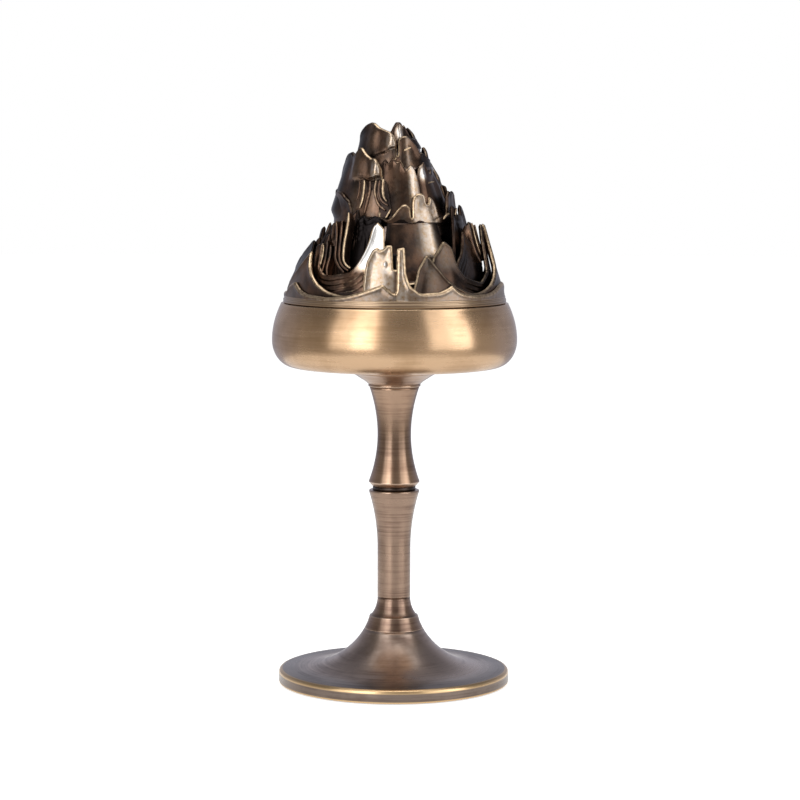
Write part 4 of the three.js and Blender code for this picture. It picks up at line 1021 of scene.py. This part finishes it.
def foldTree():
    tree, add, given = newTree("foldsAlongLines", {"Width": "Float", "Depth": "Float", "Rounding": "Float"})
    path = add("GeometryNodeMeshToCurve", {0: given["Geometry"]})
    turnedOut = add("GeometryNodeSetCurveNormal", {
        "Curve": path, "Normal": namedValue(add, "outward", "FLOAT_VECTOR")}, mode="FREE")
    section = add("GeometryNodeCurvePrimitiveQuadrilateral", {0: given["Depth"], 1: given["Width"]})
    rounded = add("GeometryNodeFilletCurve", {
        "Curve": section, "Count": 3, "Radius": given["Rounding"], "Limit Radius": True}, mode="POLY")
    place = add("ShaderNodeSeparateXYZ", {0: add("GeometryNodeInputPosition")})
    half = maths(add, "MULTIPLY", given["Depth"], 0.5)
    brow = maths(add, "SUBTRACT", half, given["Rounding"])
    rubbed = mapped(add, place.outputs["X"], (brow, half), (0, 1))
    marked = add("GeometryNodeStoreNamedAttribute", {
        "Geometry": rounded, "Name": "wear", "Value": rubbed}, data_type="FLOAT", domain="POINT")
    inwards = add("ShaderNodeCombineXYZ", {"X": maths(add, "MULTIPLY", half, -1)})
    sunk = add("GeometryNodeSetPosition", {"Geometry": marked, "Offset": inwards})
    swept = add("GeometryNodeCurveToMesh", {
        "Curve": turnedOut, "Profile Curve": sunk, "Scale": namedValue(add, "swell"),
        "Fill Caps": True})
    finishTree(add, given, swept)
    return tree


# A smooth line through a few points, sampled evenly
def throughPoints(points):
    knots = np.array(points, float)
    ends = np.vstack([2 * knots[0] - knots[1], knots, 2 * knots[-1] - knots[-2]])
    samples = []
    for a, b, c, d in zip(ends, ends[1:], ends[2:], ends[3:]):
        for t in np.linspace(0, 1, foldShape["curveSteps"], endpoint=False):
            samples.append(0.5 * (2 * b + (c - a) * t + (2 * a - 5 * b + 4 * c - d) * t * t
                                  + (3 * b - a - 3 * c + d) * t ** 3))
    samples = np.array([*samples, knots[-1]])
    travelled = np.append(0, np.cumsum(np.linalg.norm(np.diff(samples, axis=0), axis=1)))
    count = max(foldShape["fewest"], int(travelled[-1] / foldShape["spacing"]))
    places = np.linspace(0, travelled[-1], count)
    return np.stack([np.interp(places, travelled, samples[:, axis]) for axis in (0, 1)], axis=1)


def raiseFolds(name, group, tree):
    points, edges, outwards, swells, polishes = [], [], [], [], []
    least = foldShape["thinnest"]
    floor, lean = tiers[tierOf[group["node"]]]["z"], group["lean"]
    for turn, tall in group["turns"]:
        for polish, knots, *ownFoot in group["lines"]:
            reach = ownFoot[0] if ownFoot else group["foot"]
            line = throughPoints([(math.radians(1) * reach * bearing, height) for bearing, height in knots])
            first = len(points)
            for index, (across, up) in enumerate(line):
                angle = across / reach + math.radians(turn)
                up *= tall
                radius = reach - lean * up
                share = index / (len(line) - 1)
                points.append((radius * mm * math.sin(angle), -radius * mm * math.cos(angle),
                               (floor + up) * mm))
                outwards.append((math.sin(angle), -math.cos(angle), lean))
                taper = min(1, share / foldShape["startTaper"], (1 - share) / foldShape["endTaper"])
                swells.append(least + (1 - least) * taper)
                polishes.append(polish * (1 - foldShape["fade"] * share))
            edges += [(i, i + 1) for i in range(first, len(points) - 1)]
    mesh = bpy.data.meshes.new(name)
    mesh.from_pydata(points, edges, [])
    markPoints(mesh, "outward", np.ravel(outwards), "FLOAT_VECTOR", "vector")
    markPoints(mesh, "swell", swells)
    markPoints(mesh, "polish", polishes)
    markPoints(mesh, "gold", [foldShape["gold"]] * len(points))
    piece = placed(name, mesh)
    sizes = {"Width": group["width"] * mm, "Depth": group["depth"] * mm, "Rounding": group["round"] * mm}
    shapeBy(tree, piece, {**sizes, "Material": finishes["castCopper"]})
    settle(piece, "lid", "dark_bronze", group["node"])


# Hollow cores inside the tiers, with their smoke holes: (bearing, width) in degrees and mm
cores = {
    "lowerCore": {
        "node": "lower_peaks", "next": "middle", "inset": 5, "sill": 10, "lintel": 2,
        "holes": [(-26, 3.8), (-78, 3.2), (48, 3.4), (100, 3.2), (140, 3.4), (186, 3), (240, 3.2)],
    },
    "middleCore": {
        "node": "middle_peaks", "next": "upper", "inset": 3, "sill": 3, "lintel": 4,
        "holes": [(-50, 2.8), (-2, 2.8), (54, 2.6), (104, 2.8), (160, 2.8), (216, 2.8)],
    },
    "upperCore": {
        "node": "upper_peaks", "next": "summit", "inset": 1.5, "sill": 2.2, "lintel": 1.4,
        "holes": [(-24, 2), (50, 2), (110, 2), (186, 2)],
    },
}
coreCasting = {
    "wall": 1.3, "floor": 1.2, "taper": 0.5, "cove": 1, "lip": 0.05, "floorRound": 0.3, "coveRound": 0.8,
    "lipRound": 0.1, "holeDepth": 12, "holeRound": 0.49, "holeSegments": 6, "sharpAngle": 35,
}


def smokeHole(bearing, width, radius, low, high):
    data = bpy.data.meshes.new("smokeHole")
    shape = bmesh.new()
    bmesh.ops.create_cube(shape, size=1)
    bmesh.ops.scale(shape, vec=(width, coreCasting["holeDepth"], high - low), verts=shape.verts)
    # only the edges that run through the wall are as long as the hole is deep
    least = coreCasting["holeDepth"] / 2
    through = [edge for edge in shape.edges if abs(edge.verts[0].co.y - edge.verts[1].co.y) > least]
    bmesh.ops.bevel(shape, geom=through, offset=width * coreCasting["holeRound"],
                    segments=coreCasting["holeSegments"], affect="EDGES")
    bmesh.ops.translate(shape, vec=(0, -radius, (low + high) / 2), verts=shape.verts)
    bmesh.ops.rotate(shape, matrix=Matrix.Rotation(math.radians(bearing), 3, "Z"), verts=shape.verts)
    bmesh.ops.scale(shape, vec=(mm, mm, mm), verts=shape.verts)
    shape.to_mesh(data)
    shape.free()
    return placed("smokeHole", data)


def makeCore(name, spec):
    tier, above = tiers[tierOf[spec["node"]]], tiers[spec["next"]]
    wall, rounding = coreCasting["wall"], coreCasting["floorRound"]
    floorTop = tier["z"] + coreCasting["floor"]
    climbed = (floorTop - tier["z"]) / (above["z"] - tier["z"])
    wallFoot = tier["core"] + (above["core"] - tier["core"]) * climbed
    profile = [
        (tier["core"] - wall, tier["z"]), (tier["floor"], tier["z"], rounding),
        (tier["floor"] - coreCasting["taper"], floorTop, rounding), (wallFoot, floorTop, rounding),
        (above["core"], above["z"] - coreCasting["cove"], coreCasting["coveRound"]),
        (max(above["core"], above["floor"] - coreCasting["lip"]), above["z"]),
        (above["core"] - wall, above["z"], coreCasting["lipRound"]),
    ]
    piece = turned(name, profile, finishes["coreCopper"])
    low, high = tier["z"] + spec["sill"], above["z"] - spec["lintel"]
    for bearing, width in spec["holes"]:
        cutter = smokeHole(bearing, width, tier["core"] - spec["inset"], low, high)
        cut = piece.modifiers.new("smokeHole", "BOOLEAN")
        cut.operation = "DIFFERENCE"
        cut.solver = "EXACT"
        cut.object = cutter
        applied(piece)
        bpy.data.objects.remove(cutter)
    piece.data.set_sharp_from_angle(angle=math.radians(coreCasting["sharpAngle"]))
    settle(piece, "lid", "dark_bronze", spec["node"])


makeTurned("lidRingTurned", lidRing)
for name, spec in cores.items():
    makeCore(name, spec)
makeTurned("summitCap", summitCap)
for name, spec in sheets.items():
    castSheet(name, spec)
alongLines = foldTree()
for name, group in folds.items():
    raiseFolds(name, group, alongLines)
print("lid made")


# Studio: a pale floor, a white surround, soft boxes, and a grey tent for the metal to reflect
studio = {
    "floorSize": 6,  # m
    "floorColour": (0.8, 0.8, 0.8), "floorGlow": 0.62, "floorShine": 0.3,  # as the camera and metal see it
    "ambient": 0.5,
}
softBox = {"distance": 900, "height": 480, "tall": 1400}  # mm
softBoxes = {
    "leftInnerBox": {"bearing": -28.5, "width": 366, "glow": 3.1},
    "leftOuterBox": {"bearing": -50.5, "width": 334, "glow": 1.5},
    "rightInnerBox": {"bearing": 43.5, "width": 334, "glow": 1.3},
    "rightOuterBox": {"bearing": 65, "width": 350, "glow": 2.2},
}
overheadBox = {"height": 1300, "forward": 150, "size": 700, "glow": 1.7}  # mm, apart from the glow

# Grey cloth round the set, which only the metal reflects: rings of points at the "risings", degrees up,
# with their foot on a circle of "table" mm. "levels" are (bearing, brightness). It gets darker between
# the two "falls", degrees up, down to "topShare", and cooler behind the bearing "coolFrom".
greyTent = {
    "radius": 1400, "table": 260, "columnStep": 4, "topShare": 0.42, "falls": (8, 40),
    "risings": (0, 4, 8, 14, 20, 28, 36, 46, 54, 62),
    "levels": [(-180, 0.52), (-150, 0.42), (-122, 0.44), (-90, 0.38), (-62, 0.33), (-17, 0.48), (10, 0.43),
               (33, 0.47), (76, 0.36), (100, 0.42), (122, 0.44), (150, 0.42)],
    "warm": (1, 0.96, 0.92), "cool": (0.92, 0.94, 1.1), "coolFrom": 90, "coolReach": 30,
}


def seenRay(add):
    path = add("ShaderNodeLightPath").outputs
    direct = maths(add, "MAXIMUM", path["Is Camera Ray"], path["Is Glossy Ray"])
    return maths(add, "MAXIMUM", direct, path["Is Transmission Ray"])


def addSurround():
    world = bpy.data.worlds.new("whiteSurround")
    world.use_nodes = True
    world.node_tree.nodes.clear()
    add = addTo(world.node_tree)
    white = (1, 1, 1, 1)
    lit = add("ShaderNodeBackground", {"Color": white, "Strength": studio["ambient"]})
    shown = add("ShaderNodeBackground", {"Color": white, "Strength": 1.0})
    both = add("ShaderNodeMixShader", {0: seenRay(add), 1: lit, 2: shown})
    add("ShaderNodeOutputWorld", {"Surface": both})
    scene.world = world


def addFloor():
    half = studio["floorSize"] / 2
    mesh = bpy.data.meshes.new("studioFloor")
    corners = [(-half, -half, 0), (half, -half, 0), (half, half, 0), (-half, half, 0)]
    mesh.from_pydata(corners, [], [(0, 1, 2, 3)])
    material, add = blankMaterial("paleFloor")
    plain = add("ShaderNodeBsdfDiffuse", {"Color": (*studio["floorColour"], 1)})
    direct = add("ShaderNodeLightPath").outputs["Is Camera Ray"]
    strength = mapped(add, direct, (0, 1), (studio["floorShine"], studio["floorGlow"]))
    glow = add("ShaderNodeEmission", {"Color": (1, 1, 1, 1), "Strength": strength})
    shown = add("ShaderNodeAddShader", {0: plain, 1: glow})
    both = add("ShaderNodeMixShader", {0: seenRay(add), 1: plain, 2: shown})
    add("ShaderNodeOutputMaterial", {"Surface": both})
    mesh.materials.append(material)
    floor = placed("studioFloor", mesh)


def addLamp(name, width, tall, glow, place):
    data = bpy.data.lights.new(name, "AREA")
    data.shape = "RECTANGLE"
    data.size = width * mm
    data.size_y = tall * mm
    data.energy = glow * math.pi * data.size * data.size_y
    lamp = placed(name, data)
    lamp.location = place
    return lamp


def addSoftBox(name, box):
    angle = math.radians(box["bearing"])
    away = softBox["distance"]
    place = Vector((away * math.sin(angle), -away * math.cos(angle), softBox["height"])) * mm
    lamp = addLamp(name, box["width"], softBox["tall"], box["glow"], place)
    lamp.rotation_euler = Vector((-place.x, -place.y, 0)).to_track_quat("-Z", "Y").to_euler()


def addTent():
    bearings = range(-180, 180, greyTent["columnStep"])
    reach = greyTent["radius"] * mm
    low, high = greyTent["falls"]
    points, levels, cools = [], [], []
    for ring, rising in enumerate((0, *greyTent["risings"])):
        flat = reach * math.cos(math.radians(rising)) if ring else greyTent["table"] * mm
        up = reach * math.sin(math.radians(rising)) + mm
        fall = softStep((rising - low) / (high - low)) * (1 - greyTent["topShare"])
        for degrees in bearings:
            bearing = math.radians(degrees)
            points.append((flat * math.sin(bearing), -flat * math.cos(bearing), up))
            levels.append(float(aroundLid(greyTent["levels"], bearing) * (1 - fall)))
            cools.append(float(softStep((abs(degrees) - greyTent["coolFrom"]) / greyTent["coolReach"])))
    mesh = bpy.data.meshes.new("greyTent")
    mesh.from_pydata(points, [], ringFaces(len(bearings), len(greyTent["risings"]) + 1, False))
    markPoints(mesh, "level", levels)
    markPoints(mesh, "cool", cools)
    material, add = blankMaterial("greyCloth")
    tint = mixColours(add, pointValue(add, "cool"), greyTent["warm"], greyTent["cool"])
    grey = add("ShaderNodeEmission", {"Color": tint, "Strength": pointValue(add, "level")})
    add("ShaderNodeOutputMaterial", {"Surface": grey})
    mesh.materials.append(material)
    tent = placed("greyTent", mesh)
    tent.visible_camera = False
    tent.visible_diffuse = False
    tent.visible_shadow = False


addSurround()
addFloor()
for name, box in softBoxes.items():
    addSoftBox(name, box)
overheadPlace = Vector((0, -overheadBox["forward"], overheadBox["height"])) * mm
addLamp("overheadBox", overheadBox["size"], overheadBox["size"], overheadBox["glow"], overheadPlace)
addTent()
scene.view_settings.view_transform = "Standard"
print("studio set")
